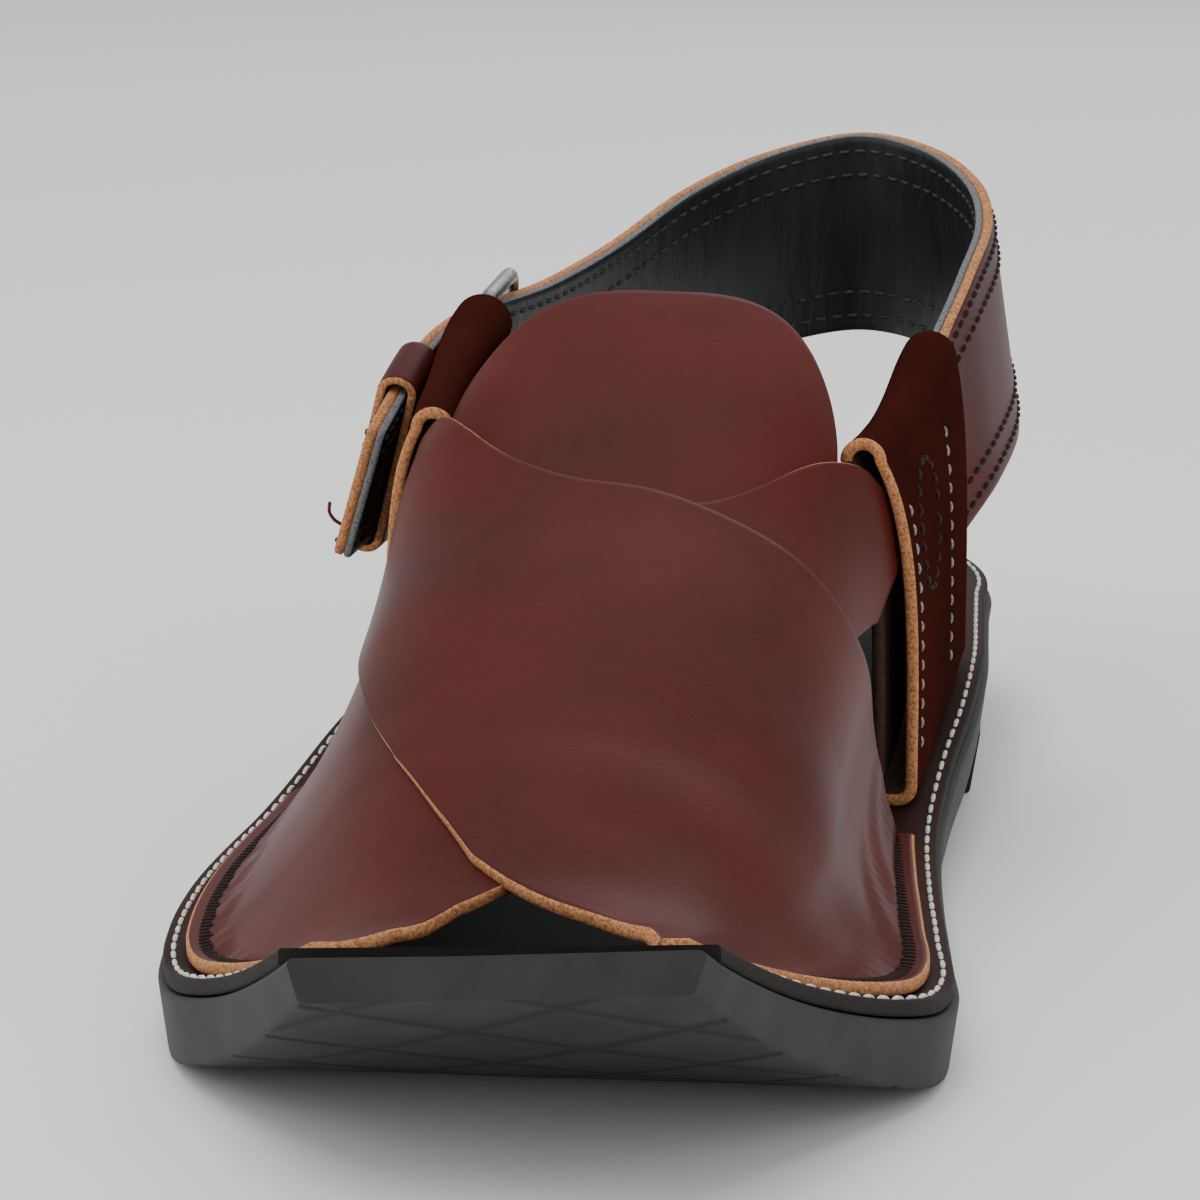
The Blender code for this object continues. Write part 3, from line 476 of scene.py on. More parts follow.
def leather_sheet(name, inner, outer, finishes, nodes=(), closed=False, soft=RIM_SOFTNESS, dark_rows=0):
    """Inner and outer grid drawn in by the softness at the border, with two rim rings at full size between them.

    finishes are the outer face's, the inner face's and the rim's. closed joins the last row to the first. The rim
    of the first dark_rows rows is dyed like the inner face."""
    rows, cols = inner.shape[:2]
    pull_in, pull_out = spread(inner), spread(outer)
    if closed:
        pull_in[:, 1:-1] = 0.0
        pull_out[:, 1:-1] = 0.0
    count = rows * cols
    wall = outer - inner
    layers = [inner - soft * pull_in, inner + 0.22 * wall, inner + 0.78 * wall, outer - soft * pull_out]
    last = rows if closed else rows - 1
    i, j = np.meshgrid(np.arange(last), np.arange(cols - 1), indexing="ij")
    n = (i + 1) % rows
    cell = np.stack([i * cols + j, i * cols + j + 1, n * cols + j + 1, n * cols + j], axis=-1).reshape(-1, 4)
    if closed:
        loops = [np.arange(rows) * cols, np.arange(rows) * cols + cols - 1]
    else:
        loops = [np.concatenate([np.arange(cols - 1), np.arange(rows - 1) * cols + cols - 1,
                                 (rows - 1) * cols + np.arange(cols - 1, 0, -1), np.arange(rows - 1, 0, -1) * cols])]
    rim, rim_kinds = [], []
    for loop in loops:
        after = np.roll(loop, -1)
        rim += [np.stack([loop + k * count, after + k * count, after + (k + 1) * count, loop + (k + 1) * count],
                         axis=-1) for k in range(3)]
        rim_kinds += [np.where(loop // cols < dark_rows, 1, 2)] * 3
    rim = np.concatenate(rim)
    quads = np.concatenate([cell, cell[:, ::-1] + 3 * count, rim])
    kinds = np.concatenate([np.full(len(cell), 1), np.full(len(cell), 0), *rim_kinds])
    run = np.concatenate([[0.0], np.cumsum(np.linalg.norm(np.diff(outer[:, cols // 2], axis=0), axis=-1))])
    rise = np.concatenate([[0.0], np.cumsum(np.linalg.norm(np.diff(outer[rows // 2], axis=0), axis=-1))])
    flat = np.stack(np.meshgrid(run, rise, indexing="ij"), axis=-1).reshape(-1, 2)
    points = np.concatenate([layer.reshape(-1, 3) for layer in layers])
    maps = np.tile(flat, (4, 1))
    used = np.unique(quads)
    order = np.full(len(points), -1)
    order[used] = np.arange(len(used))
    return finish_mesh(name, points[used], order[quads].tolist(), finishes, kinds, maps[used], nodes)


# %% [markdown]
# The last is a squared arch: its walls stand up from the welt, flare at the foot and close over the instep. The two
# bands are cut from one surface on it. Each has a front and a rear edge that sweep across, so they cross in an X.

# %% Last and bands
OUTER_BAND = (
    (0.0, 0.032, 0.440), (20.0, 0.040, 0.405), (50.0, 0.062, 0.385), (80.0, 0.090, 0.392), (100.0, 0.132, 0.420),
    (125.0, 0.222, 0.473), (138.0, 0.287, 0.483), (146.0, 0.328, 0.493), (163.0, 0.425, 0.565),
)
INNER_BAND = (
    (180.0, 0.036, 0.470), (160.0, 0.042, 0.440), (130.0, 0.050, 0.410), (100.0, 0.060, 0.392), (80.0, 0.096, 0.400),
    (55.0, 0.215, 0.460), (42.0, 0.300, 0.482), (34.0, 0.350, 0.492), (18.0, 0.450, 0.560),
)
SLEEVE_START = 0.486
FAR_SIDE_FADE = 0.035
PLEAT_DEPTH = 0.00035
PLEAT_PITCH = 0.0032


def last_point(share, angle):
    """Cosine and sine of the angle, raised to a power that squares the arch, between wall and crown."""
    c, s = np.cos(angle), np.sin(angle)
    power = 2.0 / np.where(c > 0, column(LAST, share, 5), column(LAST, share, 4))
    lateral_edge, medial_edge = edges(OUTLINE, share)
    slant = 1.0 + TOE_WELT_GROWTH * ramp(share, TOE_TANGENT, 0.0)
    wall = np.where(c > 0, column(LAST, share, 2), column(LAST, share, 1)) * BALL_WIDTH
    foot = np.where(c > 0, medial_edge - WELT_MARGIN * slant, lateral_edge + WELT_MARGIN * slant)
    rise = np.abs(s) ** power
    flare_height = np.where(c > 0, MEDIAL_FLARE, LATERAL_FLARE)
    flare = (foot - wall) * np.clip(1.0 - rise / flare_height, 0.0, 1.0) ** 2
    flare = flare * (1.0 - ramp(share, FLARE_FADE_START, FLARE_FADE_END))
    x = CROWN_X + (wall - CROWN_X) * np.abs(c) ** power + flare
    z = platform_top(share, x) + SEAT + rise * column(LAST, share, 3) * INSTEP_HEIGHT
    return np.stack([x, along(share), z], axis=-1)


def band_grid(table, lift, across=170, down=70):
    """Surface of a band: its flange on the platform, then the last between its front and rear edge.

    The rows near the foot are closer together, and a small wave along the foot makes the pleats of the crease."""
    start, end = table[0][0], table[-1][0]
    sign = 1.0 if end > start else -1.0
    u = np.linspace(0.0, 1.0, across) ** 1.25
    degrees = start + (end - start) * u
    front, rear = column(table, degrees, 1), column(table, degrees, 2)
    share = front[:, None] + (rear - front)[:, None] * np.linspace(0.0, 1.0, down)[None, :]
    body = last_point(share, np.radians(np.broadcast_to(degrees[:, None], share.shape)))
    flange = np.stack([body[0] + np.array([sign * FLANGE * k, 0.0, 0.0]) for k in (1.0, 0.75, 0.5, 0.25)])
    flange[:, :, 2] = platform_top(np.broadcast_to(share[0], flange.shape[:2]), flange[:, :, 0]) + SEAT
    grid = np.concatenate([flange, body])
    stretch = np.concatenate([np.zeros(len(flange)), u])[:, None]
    share = np.concatenate([np.repeat(share[:1], len(flange), axis=0), share])
    far_side = ramp(stretch, 0.5, 0.6) * ramp(share, SLEEVE_START - FAR_SIDE_FADE, SLEEVE_START)
    raised = lift * ramp(stretch, 0.02, 0.14) * (1.0 - far_side)
    near_foot = ramp(stretch, 0.0, 0.004) * (1.0 - ramp(stretch, 0.012, 0.050))
    v = np.linspace(0.0, 1.0, down)[None, :]
    pleat = PLEAT_DEPTH * near_foot * ramp(v, 0.06, 0.16) * np.sin(2.0 * math.pi * along(share) / PLEAT_PITCH)
    return grid + (raised + pleat)[:, :, None] * outward(grid)


upper_finishes = [oxblood, flesh_side, raw_edge]
inner_band = band_grid(INNER_BAND, 0.0)
outer_band = band_grid(OUTER_BAND, LEATHER - FUSE)
for name, band in (("inner_vamp_band", inner_band), ("outer_vamp_band", outer_band)):
    leather_sheet(name, band, band + LEATHER * outward(band), upper_finishes, ("upper",))
print("vamp bands made")

# %% [markdown]
# The tongue is a rounded tab under the bands. It arches over the instep, and its end is a curve from shoulder to
# shoulder.

# %% Tongue
TONGUE_START = 0.235
TONGUE_SHOULDER = 0.448
TONGUE_REACH = 0.120
TONGUE_ROUNDING = 1.3
TONGUE_SQUARE = 0.80
TONGUE_SPREAD = 46.0


def tongue_grid(across=110, down=70):
    """Last surface from a straight front to an end that falls away from the middle to the shoulders."""
    u = np.sin(np.linspace(-0.5, 0.5, across) * math.pi)
    end = TONGUE_SHOULDER + TONGUE_REACH * np.clip(1.0 - np.abs(u) ** TONGUE_ROUNDING, 0.0, 1.0) ** TONGUE_SQUARE
    share = TONGUE_START + (end - TONGUE_START)[:, None] * np.linspace(0.0, 1.0, down)[None, :]
    return last_point(share, np.radians(np.broadcast_to((90.0 - u * TONGUE_SPREAD)[:, None], share.shape)))


tongue = tongue_grid()
away = outward(tongue)
leather_sheet("tongue_tab", tongue - (SEAT + TONGUE_LEATHER) * away, tongue - SEAT * away,
              [oxblood, flesh_side, oxblood_strap], ("tongue",))

# %% [markdown]
# On each side a piece of leather is folded over the ends of the bands, like a sleeve that is open to the rear. Its
# outer ply turns in under itself at the bottom. The profile is walked once: up the inner ply, over the fold, and down
# the outer ply to the turned foot.

# %% Side sleeves
SLEEVE_GAP = 0.0035
SLEEVE_FOOT = 0.0040
SLEEVE_UP = 40
SLEEVE_SIDE = 0.3
SLEEVE_OPENING_START = 0.03
LIP_REACH = 0.0060
LIP_BEND = 0.0034
MEDIAL_GAP_REAR, MEDIAL_SLEEVE_END = 0.0054, 0.676
LATERAL_GAP_REAR, LATERAL_SLEEVE_END = 0.0062, 0.625
SLEEVE_TOPS = ((0.486, 0.890, 0.865), (0.550, 0.945, 0.850), (0.620, 0.945, 0.840), (0.680, 0.930, 0.830))


def wall_x(share, rise, side):
    """Side reach of the last at a share of the crown's height."""
    n = column(LAST, share, 5 if side > 0 else 4)
    wall = column(LAST, share, 2 if side > 0 else 1) * BALL_WIDTH
    return CROWN_X + (wall - CROWN_X) * (1.0 - np.clip(rise, 0.0, 0.999) ** n) ** (1.0 / n)


def sleeve_gap(share, end, gap_rear):
    """Front opening, growing by a smooth step to the rear one at the sleeve's end."""
    return SLEEVE_GAP + (gap_rear - SLEEVE_GAP) * ramp(share, SLEEVE_START + SLEEVE_OPENING_START, end)


def sleeve_grids(side, end, gap_rear, across=50, up=SLEEVE_UP):
    """Inner and outer face of a sleeve, as a profile at each share from the front to the rear."""
    share = np.linspace(SLEEVE_START, end, across)
    height = column(SLEEVE_TOPS, share, 2 if side > 0 else 1) * INSTEP_HEIGHT
    crown = column(LAST, share, 3) * INSTEP_HEIGHT
    gap = sleeve_gap(share, end, gap_rear)
    base = platform_top(share, side * SLEEVE_SIDE * BALL_WIDTH) + SEAT
    spine_top = height - 0.5 * gap - LIP_LEATHER

    def spine(z):
        return wall_x(share, z / crown, side) + side * 0.5 * LEATHER

    faces = []
    for reach in (0.0, LIP_LEATHER):
        radius, bend = 0.5 * gap + reach, LIP_BEND - LIP_LEATHER + reach
        path = []
        for k in np.linspace(0.0, 1.0, up):
            z = SLEEVE_FOOT + k * (spine_top - SLEEVE_FOOT)
            path.append((spine(z) - side * radius, base + z))
        for turn in np.radians(np.linspace(170.0, 10.0, 17)):
            path.append((spine(spine_top) + side * radius * math.cos(turn),
                         base + spine_top + radius * math.sin(turn)))
        for k in np.linspace(1.0, 0.0, up):
            z = LIP_BEND + k * (spine_top - LIP_BEND)
            path.append((spine(z) + side * radius, base + z))
        centre = spine(LIP_BEND) + side * (0.5 * gap + LIP_LEATHER - LIP_BEND)
        for turn in np.radians(np.linspace(15.0, 90.0, 6)):
            path.append((centre + side * bend * math.cos(turn), base + LIP_BEND - bend * math.sin(turn)))
        path.append((centre - side * LIP_REACH, base + LIP_BEND - bend))
        faces.append(np.stack([np.stack([x, along(share), z], axis=-1) for x, z in path]))
    return faces


medial_sleeve = sleeve_grids(1.0, MEDIAL_SLEEVE_END, MEDIAL_GAP_REAR)
lateral_sleeve = sleeve_grids(-1.0, LATERAL_SLEEVE_END, LATERAL_GAP_REAR)
sleeve_finishes = [oxblood_side_painted_shade, flesh_side, raw_edge]
leather_sheet("medial_fold", *medial_sleeve, sleeve_finishes, ("medial_sleeve",), dark_rows=SLEEVE_UP)
leather_sheet("lateral_fold", *lateral_sleeve, sleeve_finishes, ("lateral_sleeve",), dark_rows=SLEEVE_UP)

# %% [markdown]
# The heel strap is two leathers glued and sewn: oxblood outside and a thin black lining inside. Its middle line is a
# table of places round the heel, with the strap's height and lean at each. The two leathers share that line.

# %% Heel strap
STRAP_HEIGHT = 0.037
STRAP_THICK = 0.0030
STRAP_LINING = 0.0012
STRAP_TOP = 0.102
STRAP_HALF_WIDTH = 0.362 * BALL_WIDTH
STRAP = (
    (0.645, 0.815, 0.755, 0.86, 0.054), (0.665, 0.807, 0.762, 0.90, 0.059), (0.695, 0.835, 0.800, 0.94, 0.092),
    (0.750, 0.900, 0.870, 0.98, 0.141), (0.828, 0.900, 0.920, 1.00, 0.151), (0.903, 0.765, 0.958, 1.00, 0.135),
    (0.962, 0.485, 0.988, 1.00, 0.097), (0.985, 0.120, 1.000, 1.00, 0.086), (0.967, -0.300, 0.962, 1.00, 0.097),
    (0.917, -0.600, 0.912, 1.00, 0.130), (0.845, -0.815, 0.850, 0.98, 0.141), (0.760, -0.965, 0.822, 0.95, 0.135),
    (0.700, -1.090, 0.815, 0.90, 0.124), (0.650, -1.190, 0.803, 0.85, 0.124), (0.590, -1.222, 0.778, 0.74, 0.150),
    (0.505, -1.240, 0.705, 0.56, 0.165),
)
RUNS = tuple((run, *row) for run, row in zip(np.linspace(0.0, 1.0, len(STRAP)), STRAP))


def strap_line(t):
    """Middle line of the strap: side place, length place, top edge, height and lean at each run."""
    return (column(RUNS, t, 2) * STRAP_HALF_WIDTH, along(column(RUNS, t, 1)), column(RUNS, t, 3) * STRAP_TOP,
            column(RUNS, t, 4) * STRAP_HEIGHT, column(RUNS, t, 5) * STRAP_HEIGHT)


def strap_grid(t, rows):
    """Middle surface of the strap and its way out; the low edge stands further out by the lean."""
    x, y, top, height, lean = strap_line(t)
    step = unit(np.stack([np.gradient(x), np.gradient(y)], axis=-1))
    out = np.stack([step[:, 1], -step[:, 0]], axis=-1)
    centre = np.array([0.0, float(along(0.80))])
    out = out * np.sign(np.sum(out * (np.stack([x, y], axis=-1) - centre), axis=-1, keepdims=True))
    k = np.linspace(0.0, 1.0, rows)[None, :]
    shift = lean[:, None] * (k - 0.5)
    grid = np.stack([x[:, None] + out[:, :1] * shift, y[:, None] + out[:, 1:] * shift,
                     top[:, None] - height[:, None] * k], axis=-1)
    way = normals(grid)
    return grid, way * np.sign(np.sum(way[:, :, :2] * out[:, None, :], axis=-1, keepdims=True))


strap, strap_out = strap_grid(np.linspace(0.0, 1.0, 260), 26)
seam = -0.5 * STRAP_THICK + STRAP_LINING
leather_sheet("heel_strap_leather", strap + seam * strap_out, strap + 0.5 * STRAP_THICK * strap_out,
              [oxblood_strap, lining, raw_edge], ("heel_strap",))
leather_sheet("heel_strap_lining", strap - 0.5 * STRAP_THICK * strap_out, strap + seam * strap_out,
              [lining_edge, lining, lining_edge], ("heel_strap",), soft=0.0002)
print("heel strap made")

# %% [markdown]
# Close to the strap's tip a keeper loops round it, and a wire buckle is hung from the lateral sleeve by a folded tab of
# tan suede. The wire is a circle carried along a path. One fixed slanted direction sets how the circle is turned at
# every point, so that the tube doesn't twist.

# %% Keeper, buckle and tab
KEEPER_SHARE, KEEPER_WIDTH, KEEPER_LEATHER, KEEPER_CLEARANCE = 0.568, 0.013, 0.0014, 0.0004
WIRE, BUCKLE_HINGE, BUCKLE_LENGTH, BUCKLE_HEIGHT, BUCKLE_BEND = 0.0028, 0.660, 0.022, 0.040, 0.004
CHAPE_LEATHER, CHAPE_HEIGHT, CHAPE_START, CHAPE_DRIFT, CHAPE_PLY_GAP = 0.0014, 0.020, 0.598, 0.0020, 0.0003
CHAPE_BAR_HEIGHT, CHAPE_TAPER = 0.029, 0.009
PRONG_STEP, PRONG_WIRE = 0.005, 0.0020


def strap_run(share):
    """Run of the strap at a share from the toe on its lateral side."""
    t = np.linspace(0.55, 1.0, 400)
    return float(np.interp(-along(share), -strap_line(t)[1], t))


def strap_station(share):
    """Middle of the strap, its way down and its way out at a share from the toe."""
    run = strap_run(share)
    grid, way = strap_grid(np.array([run - 0.004, run, run + 0.004]), 3)
    return grid[1, 1], unit(grid[1, 2] - grid[1, 0]), way[1, 1]


def tube(name, path, diameter, finish, nodes=(), closed=False, sides=14):
    """Circle carried along a path; for an open path its ends close to a dome."""
    path = np.asarray(path, dtype=float)
    if closed:
        tangent = unit(np.roll(path, -1, axis=0) - np.roll(path, 1, axis=0))
        radius = np.full(len(path), 0.5 * diameter)
    else:
        cap = np.array([0.95, 0.6, 0.25])
        first, last = unit(path[1] - path[0]), unit(path[-1] - path[-2])
        path = np.concatenate([path[0] - 0.5 * diameter * cap[:, None] * first, path,
                               path[-1] + 0.5 * diameter * cap[::-1, None] * last])
        round_off = np.sqrt(1.0 - cap ** 2)
        radius = 0.5 * diameter * np.concatenate([round_off, np.ones(len(path) - 6), round_off[::-1]])
        tangent = unit(np.gradient(path, axis=0))
    side = unit(np.cross(tangent, np.array([0.31, 0.17, 0.93])))
    other = np.cross(tangent, side)
    turn = np.linspace(0.0, 2.0 * math.pi, sides, endpoint=False)
    ring = side[:, None] * np.cos(turn)[None, :, None] + other[:, None] * np.sin(turn)[None, :, None]
    points = path[:, None] + radius[:, None, None] * ring
    rows = len(path)
    i, j = np.meshgrid(np.arange(rows if closed else rows - 1), np.arange(sides), indexing="ij")
    n, m = (i + 1) % rows, (j + 1) % sides
    quads = np.stack([i * sides + j, i * sides + m, n * sides + m, n * sides + j], axis=-1).reshape(-1, 4).tolist()
    if not closed:
        quads += [list(range(sides)), list(range((rows - 1) * sides, rows * sides))]
    return finish_mesh(name, points.reshape(-1, 3), quads, [finish], node_names=nodes)


def smooth_path(points, count=60):
    """Path through a few points: cubic Hermite against the distance run, with averaged slopes."""
    points = np.asarray(points, dtype=float)
    run = np.concatenate([[0.0], np.cumsum(np.linalg.norm(np.diff(points, axis=0), axis=-1))])
    table = [(r, *point) for r, point in zip(run, points)]
    at = np.linspace(0.0, run[-1], count)
    return np.stack([column(table, at, k) for k in (1, 2, 3)], axis=-1)


hinge_middle, hinge_down, hinge_out = strap_station(BUCKLE_HINGE)
hinge = hinge_middle - (0.5 * STRAP_THICK + 2.0 * SEAT + CHAPE_LEATHER + 0.5 * WIRE) * hinge_out
far_middle, far_down, far_out = strap_station(BUCKLE_HINGE + BUCKLE_LENGTH / SOLE_LENGTH)
far = far_middle + (0.5 * STRAP_THICK + SEAT + 0.5 * WIRE) * far_out

half = 0.5 * BUCKLE_HEIGHT
corners = [hinge - half * hinge_down, far - half * far_down, far + half * far_down, hinge + half * hinge_down]
frame_path = []
for k, corner in enumerate(corners):
    before, after = unit(corners[k - 1] - corner), unit(corners[(k + 1) % 4] - corner)
    centre = corner + BUCKLE_BEND * (before + after)
    turn = np.linspace(0.0, 0.5 * math.pi, 9)[:, None]
    frame_path.append(centre - BUCKLE_BEND * (after * np.cos(turn) + before * np.sin(turn)))
tube("buckle_wire", np.concatenate(frame_path), WIRE, steel, ("buckle_frame",), closed=True)

prong_middle, _, prong_out = strap_station(BUCKLE_HINGE + PRONG_STEP / SOLE_LENGTH)
backward = np.array([0.0, 1.0, 0.0])
clear = 0.5 * (STRAP_THICK + PRONG_WIRE) + SEAT
tip = far + (0.5 * (WIRE + PRONG_WIRE) + SEAT) * far_out
bent = prong_middle + PRONG_WIRE * backward + clear * prong_out
prong_points = [hinge + (0.5 * (WIRE + PRONG_WIRE) + SEAT) * backward, prong_middle,
                prong_middle + 0.55 * clear * prong_out + 0.1 * PRONG_WIRE * backward, bent, 0.5 * (bent + tip), tip,
                tip + PRONG_WIRE * backward]
tube("buckle_pin", smooth_path(prong_points), PRONG_WIRE, steel, ("buckle_prong",))

# %% Tab round the hinge bar

def tab_grids():
    """Two straight plies that come together past the bar, joined by a half turn round it."""
    radius_in = 0.5 * WIRE + SEAT
    reach = (BUCKLE_HINGE - CHAPE_START) * SOLE_LENGTH
    forward = np.array([0.0, -1.0, 0.0])
    sideways = unit(np.cross(hinge_down, forward))
    inward = sideways * np.sign(sideways[0])
    steps = np.linspace(1.0, 0.0, 26)[:-1]
    pinch = (radius_in - 0.5 * CHAPE_PLY_GAP) * ramp(steps, 0.05, 0.5)
    turn = np.radians(np.linspace(180.0, 0.0, 17))
    grids = []
    for radius in (radius_in, radius_in + CHAPE_LEATHER):
        a = np.concatenate([pinch - radius, radius * np.cos(turn), (radius - pinch)[::-1]])
        b = np.concatenate([steps * reach, -radius * np.sin(turn), (steps * reach)[::-1]])
        middle = (hinge + b[:, None] * forward + a[:, None] * sideways
                  + (CHAPE_DRIFT * ramp(b, 0.0, 0.55 * reach))[:, None] * inward)
        height = CHAPE_BAR_HEIGHT - (CHAPE_BAR_HEIGHT - CHAPE_HEIGHT) * ramp(b, 0.0, CHAPE_TAPER)
        k = np.linspace(-0.5, 0.5, 12)
        grids.append(middle[:, None] + (height[:, None] * k)[:, :, None] * hinge_down)
    return grids


leather_sheet("buckle_tab", *tab_grids(), [tan_suede, tan_suede, raw_edge], ("chape",), soft=0.0003)


def keeper_grids():
    """Stadium profile round the strap's section, carried a keeper's width along it."""
    run = strap_run(KEEPER_SHARE)
    reach = 0.5 * KEEPER_WIDTH / SOLE_LENGTH
    first, last = (strap_station(KEEPER_SHARE + turn * reach)[0] for turn in (-1.0, 1.0))
    stretch = np.linalg.norm(last - first) / KEEPER_WIDTH
    half = 0.5 * abs(strap_run(KEEPER_SHARE + reach) - strap_run(KEEPER_SHARE - reach)) / stretch
    grid, way = strap_grid(np.linspace(run - half, run + half, 12), 2)
    down = unit(grid[:, 1] - grid[:, 0])
    grids = []
    for gap in (KEEPER_CLEARANCE, KEEPER_CLEARANCE + KEEPER_LEATHER):
        side = 0.5 * STRAP_THICK + gap
        rows = []
        for edge, sign in ((0, 1.0), (1, -1.0)):
            for turn in np.radians(np.linspace(-90.0, 90.0, 15)):
                rows.append(grid[:, edge] - sign * side * 0.8 * math.cos(turn) * down
                            - sign * side * math.sin(turn) * way[:, edge])
        grids.append(np.stack(rows))
    return grids


leather_sheet("strap_keeper", *keeper_grids(), [oxblood_strap, flesh_side, raw_edge], ("keeper",), closed=True,
              soft=0.0003)
print("buckle, pin, tab and keeper made")

# %% [markdown]
# A row of stitches is one small shape set down again and again along a line. The line is walked at an even pitch, and
# each stitch lies along it with its ends drawn into the leather, as thread is pulled tight.

# %% Stitches
STITCH_SIDES = 6
STITCH_DIP = 0.54


def stitches(name, line, way, pitch, length, width, finish, sink=0.25, across=False):
    """Bent capsules at an even pitch; each is half its width up from the leather in the middle and sunk at its ends.

    They lie along the line, or across it like the rungs of a ladder."""
    line, way = np.asarray(line, dtype=float), np.asarray(way, dtype=float)
    run = np.concatenate([[0.0], np.cumsum(np.linalg.norm(np.diff(line, axis=0), axis=-1))])
    at = np.arange(0.5 * pitch, run[-1] - 0.4 * pitch, pitch)
    place = np.stack([np.interp(at, run, line[:, k]) for k in range(3)], axis=-1)
    ahead = np.stack([np.interp(at + 0.2 * pitch, run, line[:, k]) for k in range(3)], axis=-1)
    up = unit(np.stack([np.interp(at, run, way[:, k]) for k in range(3)], axis=-1))
    tangent = unit(ahead - place)
    side = unit(np.cross(up, tangent))
    if across:
        tangent, side = side, -tangent
    lift = np.cross(tangent, side)
    stretch = np.array([-1.0, -0.8, -0.4, 0.0, 0.4, 0.8, 1.0])
    girth = np.sqrt(np.clip(1.0 - np.abs(stretch) ** 4, 0.0, 1.0)) + 0.12
    turn = np.linspace(0.0, 2.0 * math.pi, STITCH_SIDES, endpoint=False)
    a = np.repeat(stretch * 0.5 * length, STITCH_SIDES)
    b = (0.5 * width * girth[:, None] * np.cos(turn)).ravel()
    rise = (0.5 - sink - STITCH_DIP * stretch ** 2) * width
    c = (0.5 * width * girth[:, None] * np.sin(turn) + rise[:, None]).ravel()
    points = (place[:, None] + a[None, :, None] * tangent[:, None] + b[None, :, None] * side[:, None]
              + c[None, :, None] * lift[:, None])
    rows, count = len(stretch), len(stretch) * STITCH_SIDES
    i, j = np.meshgrid(np.arange(rows - 1), np.arange(STITCH_SIDES), indexing="ij")
    m = (j + 1) % STITCH_SIDES
    one = np.stack([i * STITCH_SIDES + j, i * STITCH_SIDES + m, (i + 1) * STITCH_SIDES + m,
                    (i + 1) * STITCH_SIDES + j], axis=-1).reshape(-1, 4)
    offset = (np.arange(len(at)) * count)[:, None, None]
    quads = (one[None] + offset).reshape(-1, 4).tolist()
    ends = np.stack([np.arange(STITCH_SIDES), np.arange(count - STITCH_SIDES, count)])
    quads += (ends[None] + offset).reshape(-1, STITCH_SIDES).tolist()
    return finish_mesh(name, points.reshape(-1, 3), quads, [finish])


PLATFORM_SEAM_INSET = 0.0024


def platform_seam():
    """Line just inside the platform's edge: up the medial side, round the heel and back along the lateral side."""
    depth = 1.0 - PLATFORM_SEAM_INSET / SOLE_LENGTH - HEEL_ROUND_START
    share = np.concatenate([np.linspace(0.030, HEEL_ROUND_START, 160),
                            HEEL_ROUND_START + depth * np.sin(np.radians(np.linspace(2.0, 90.0, 50)))])
    lateral, medial = edges(OUTLINE, share, PLATFORM_SEAM_INSET, PLATFORM_SEAM_INSET)
    x = np.concatenate([medial, lateral[::-1]])
    share = np.concatenate([share, share[::-1]])
    return np.stack([x, along(share), platform_top(share, x)], axis=-1)


upward = np.array([0.0, 0.0, 1.0])
seam_line = platform_seam()
stitches("platform_stitches", seam_line, np.tile(upward, (len(seam_line), 1)), 0.0038, 0.0031, 0.0007, white_thread)
for name, grid in (("medial_crease_stitches", outer_band), ("lateral_crease_stitches", inner_band)):
    crease = (grid[3] + LEATHER * outward(grid)[3])[6:-3]
    stitches(name, crease, np.tile(upward, (len(crease), 1)), 0.0015, 0.0028, 0.0006, dark_thread, across=True)

# %% Sleeve and strap stitches
OVAL_SHARE, OVAL_HEIGHT, OVAL_WIDE, OVAL_TALL = 0.536, 0.040, 0.0072, 0.0100


def on_medial_sleeve(share, height):
    """Point on the outer face of the medial sleeve at a share and a height over the platform."""
    share, height = np.broadcast_arrays(np.asarray(share, dtype=float), np.asarray(height, dtype=float))
    gap = sleeve_gap(share, MEDIAL_SLEEVE_END, MEDIAL_GAP_REAR)
    crown = column(LAST, share, 3) * INSTEP_HEIGHT
    x = wall_x(share, height / crown, 1.0) + 0.5 * LEATHER + 0.5 * gap + LIP_LEATHER
    return np.stack([x, along(share), platform_top(share, SLEEVE_SIDE * BALL_WIDTH) + SEAT + height], axis=-1)


sideways_out = np.array([1.0, 0.0, 0.15])
climb = np.linspace(0.008, 0.050, 60)
for name, share in (("medial_front_seam", SLEEVE_START + 0.011), ("medial_rear_seam", 0.604)):
    seam_line = on_medial_sleeve(share, climb)
    stitches(name, seam_line, np.tile(sideways_out, (60, 1)), 0.0031, 0.0020, 0.0005, grey_thread)
turn = np.linspace(0.0, 2.0 * math.pi, 90)
oval = on_medial_sleeve(OVAL_SHARE + OVAL_WIDE / SOLE_LENGTH * np.cos(turn), OVAL_HEIGHT + OVAL_TALL * np.sin(turn))
stitches("oval_patch_stitches", oval, np.tile(sideways_out, (90, 1)), 0.0030, 0.0022, 0.0007, dark_thread)

for label, row in (("top", 2), ("upper", 5), ("lower", 20), ("low", 23)):
    outside = strap[6:, row] + 0.5 * STRAP_THICK * strap_out[6:, row]
    inside = strap[6:, row] - 0.5 * STRAP_THICK * strap_out[6:, row]
    stitches("strap_%s_stitches" % label, outside, strap_out[6:, row], 0.0030, 0.0023, 0.0007, dark_thread)
    stitches("lining_%s_stitches" % label, inside, -strap_out[6:, row], 0.0030, 0.0023, 0.0006, lining_thread)

# %% Loose thread end
tail_start = strap[-2, 20] + 0.5 * STRAP_THICK * strap_out[-2, 20]
tail_points = [tail_start, tail_start + [-0.0012, -0.0006, 0.0010], tail_start + [-0.0020, -0.0004, 0.0022],
               tail_start + [-0.0021, 0.0002, 0.0034]]
tube("thread_end", smooth_path(tail_points, 24), 0.0006, maroon_thread, sides=8)
print("stitches made")

# %% [markdown]
# The shoe stands on a plain pale floor under a large soft light from above and in front, with weaker fill from each
# side and from behind, so the waxed leather gets broad highlights and no hard shadows.

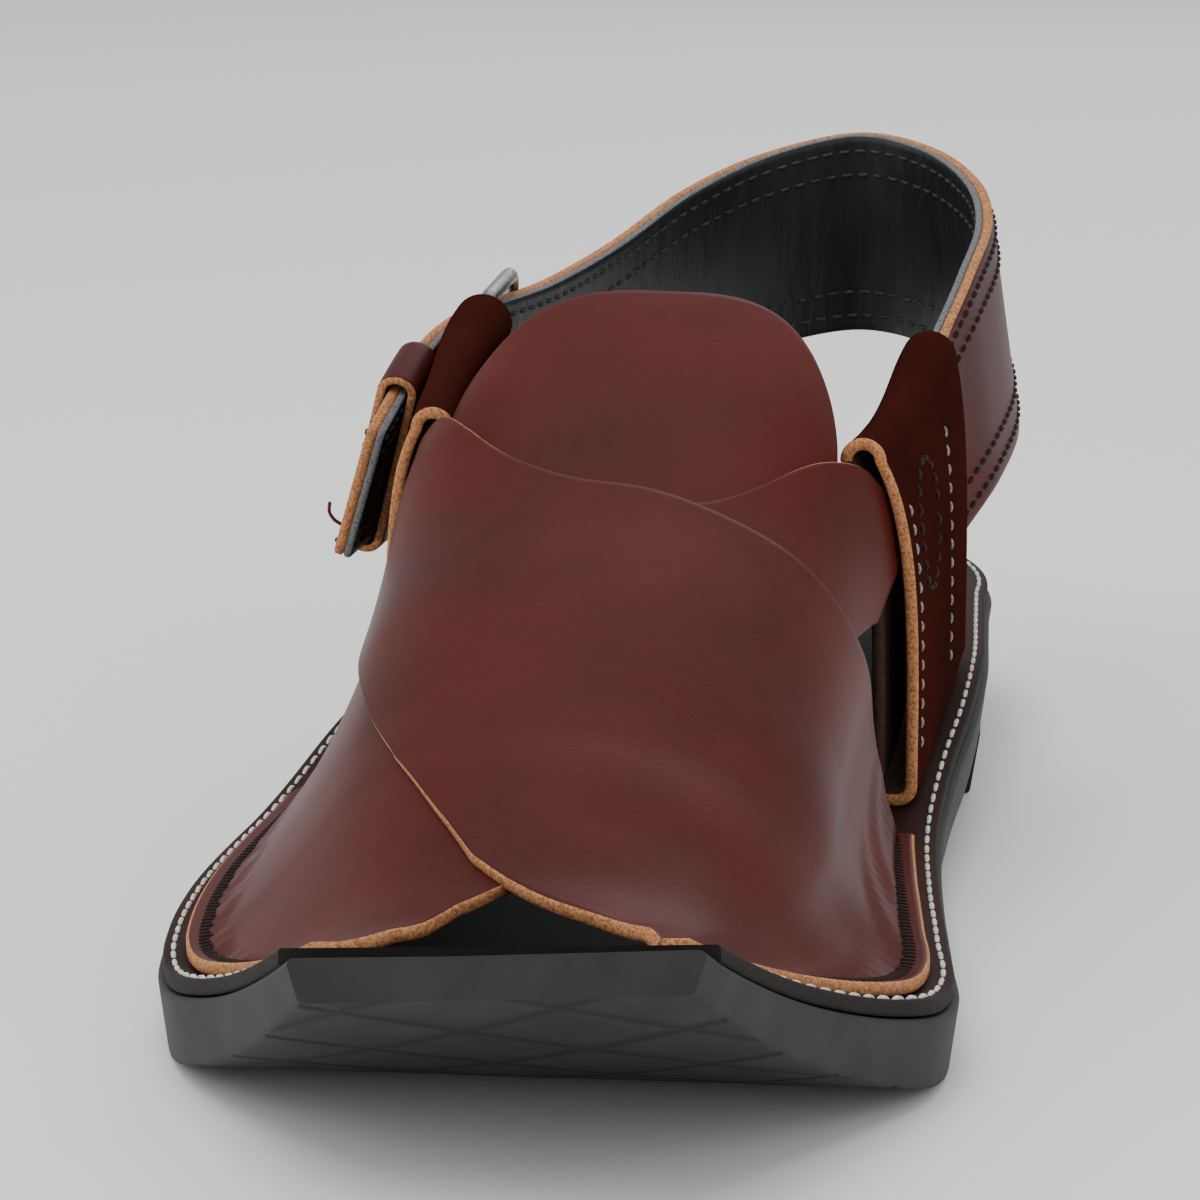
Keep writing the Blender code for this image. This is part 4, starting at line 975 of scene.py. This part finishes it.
# %% Floor and lights
FLOOR_HALF = 6.0
floor_mesh = bpy.data.meshes.new("studio_floor")
floor_mesh.from_pydata([(-FLOOR_HALF, -FLOOR_HALF, 0.0), (FLOOR_HALF, -FLOOR_HALF, 0.0), (FLOOR_HALF, FLOOR_HALF, 0.0),
                        (-FLOOR_HALF, FLOOR_HALF, 0.0)], [], [(0, 1, 2, 3)])
floor = bpy.data.objects.new("studio_floor", floor_mesh)
bpy.context.scene.collection.objects.link(floor)
paper, _, paper_shader = blank("white_studio_paper")
paper_shader.inputs["Base Color"].default_value = linear("FAFAF9")
paper_shader.inputs["Roughness"].default_value = 0.9
floor_mesh.materials.append(paper)


def area_light(name, place, aim, size, watts):
    """Square light whose back axis points away from what it lights."""
    lamp = bpy.data.lights.new(name, "AREA")
    lamp.size, lamp.energy = size, watts
    made = bpy.data.objects.new(name, lamp)
    made.location = place
    back = unit(np.array(place) - np.array(aim))
    made.rotation_euler = (math.acos(back[2]), 0.0, math.atan2(back[1], back[0]) + 0.5 * math.pi)
    bpy.context.scene.collection.objects.link(made)


SHOE_MIDDLE = (0.0, -0.10, 0.04)
area_light("soft_top", (-0.15, -0.35, 1.10), SHOE_MIDDLE, 0.9, 7.0)
area_light("fill_left", (-0.95, -0.55, 0.55), SHOE_MIDDLE, 0.7, 2.5)
area_light("fill_right", (0.95, -0.35, 0.50), SHOE_MIDDLE, 0.7, 1.5)
area_light("rim_back", (0.10, 0.90, 0.75), SHOE_MIDDLE, 0.7, 2.0)
world = bpy.data.worlds.new("pale_studio")
world.use_nodes = True
world.node_tree.nodes["Background"].inputs[0].default_value = linear("F4F4F4")
world.node_tree.nodes["Background"].inputs[1].default_value = 0.74
bpy.context.scene.world = world

# %% [markdown]
# The camera stands where the photographer's did, in front of the toe and a little to the medial side. It is turned to
# centre this one shoe, and a longer lens frames it. Its place sets the perspective, so that stays the photograph's.

# %% Camera
CAMERA_PLACE = (0.1355, -0.76565, 0.2166)
CAMERA_AIM = (-0.0135, -0.100, 0.0450)
lens = bpy.data.cameras.new("portrait_lens")
lens.lens, lens.sensor_width, lens.sensor_fit = 132.0, 36.0, "HORIZONTAL"
camera = bpy.data.objects.new("portrait_camera", lens)
camera.location = CAMERA_PLACE
back = unit(np.array(CAMERA_PLACE) - np.array(CAMERA_AIM))
camera.rotation_euler = (math.acos(back[2]), 0.0, math.atan2(back[1], back[0]) + 0.5 * math.pi)
bpy.context.scene.collection.objects.link(camera)
bpy.context.scene.camera = camera
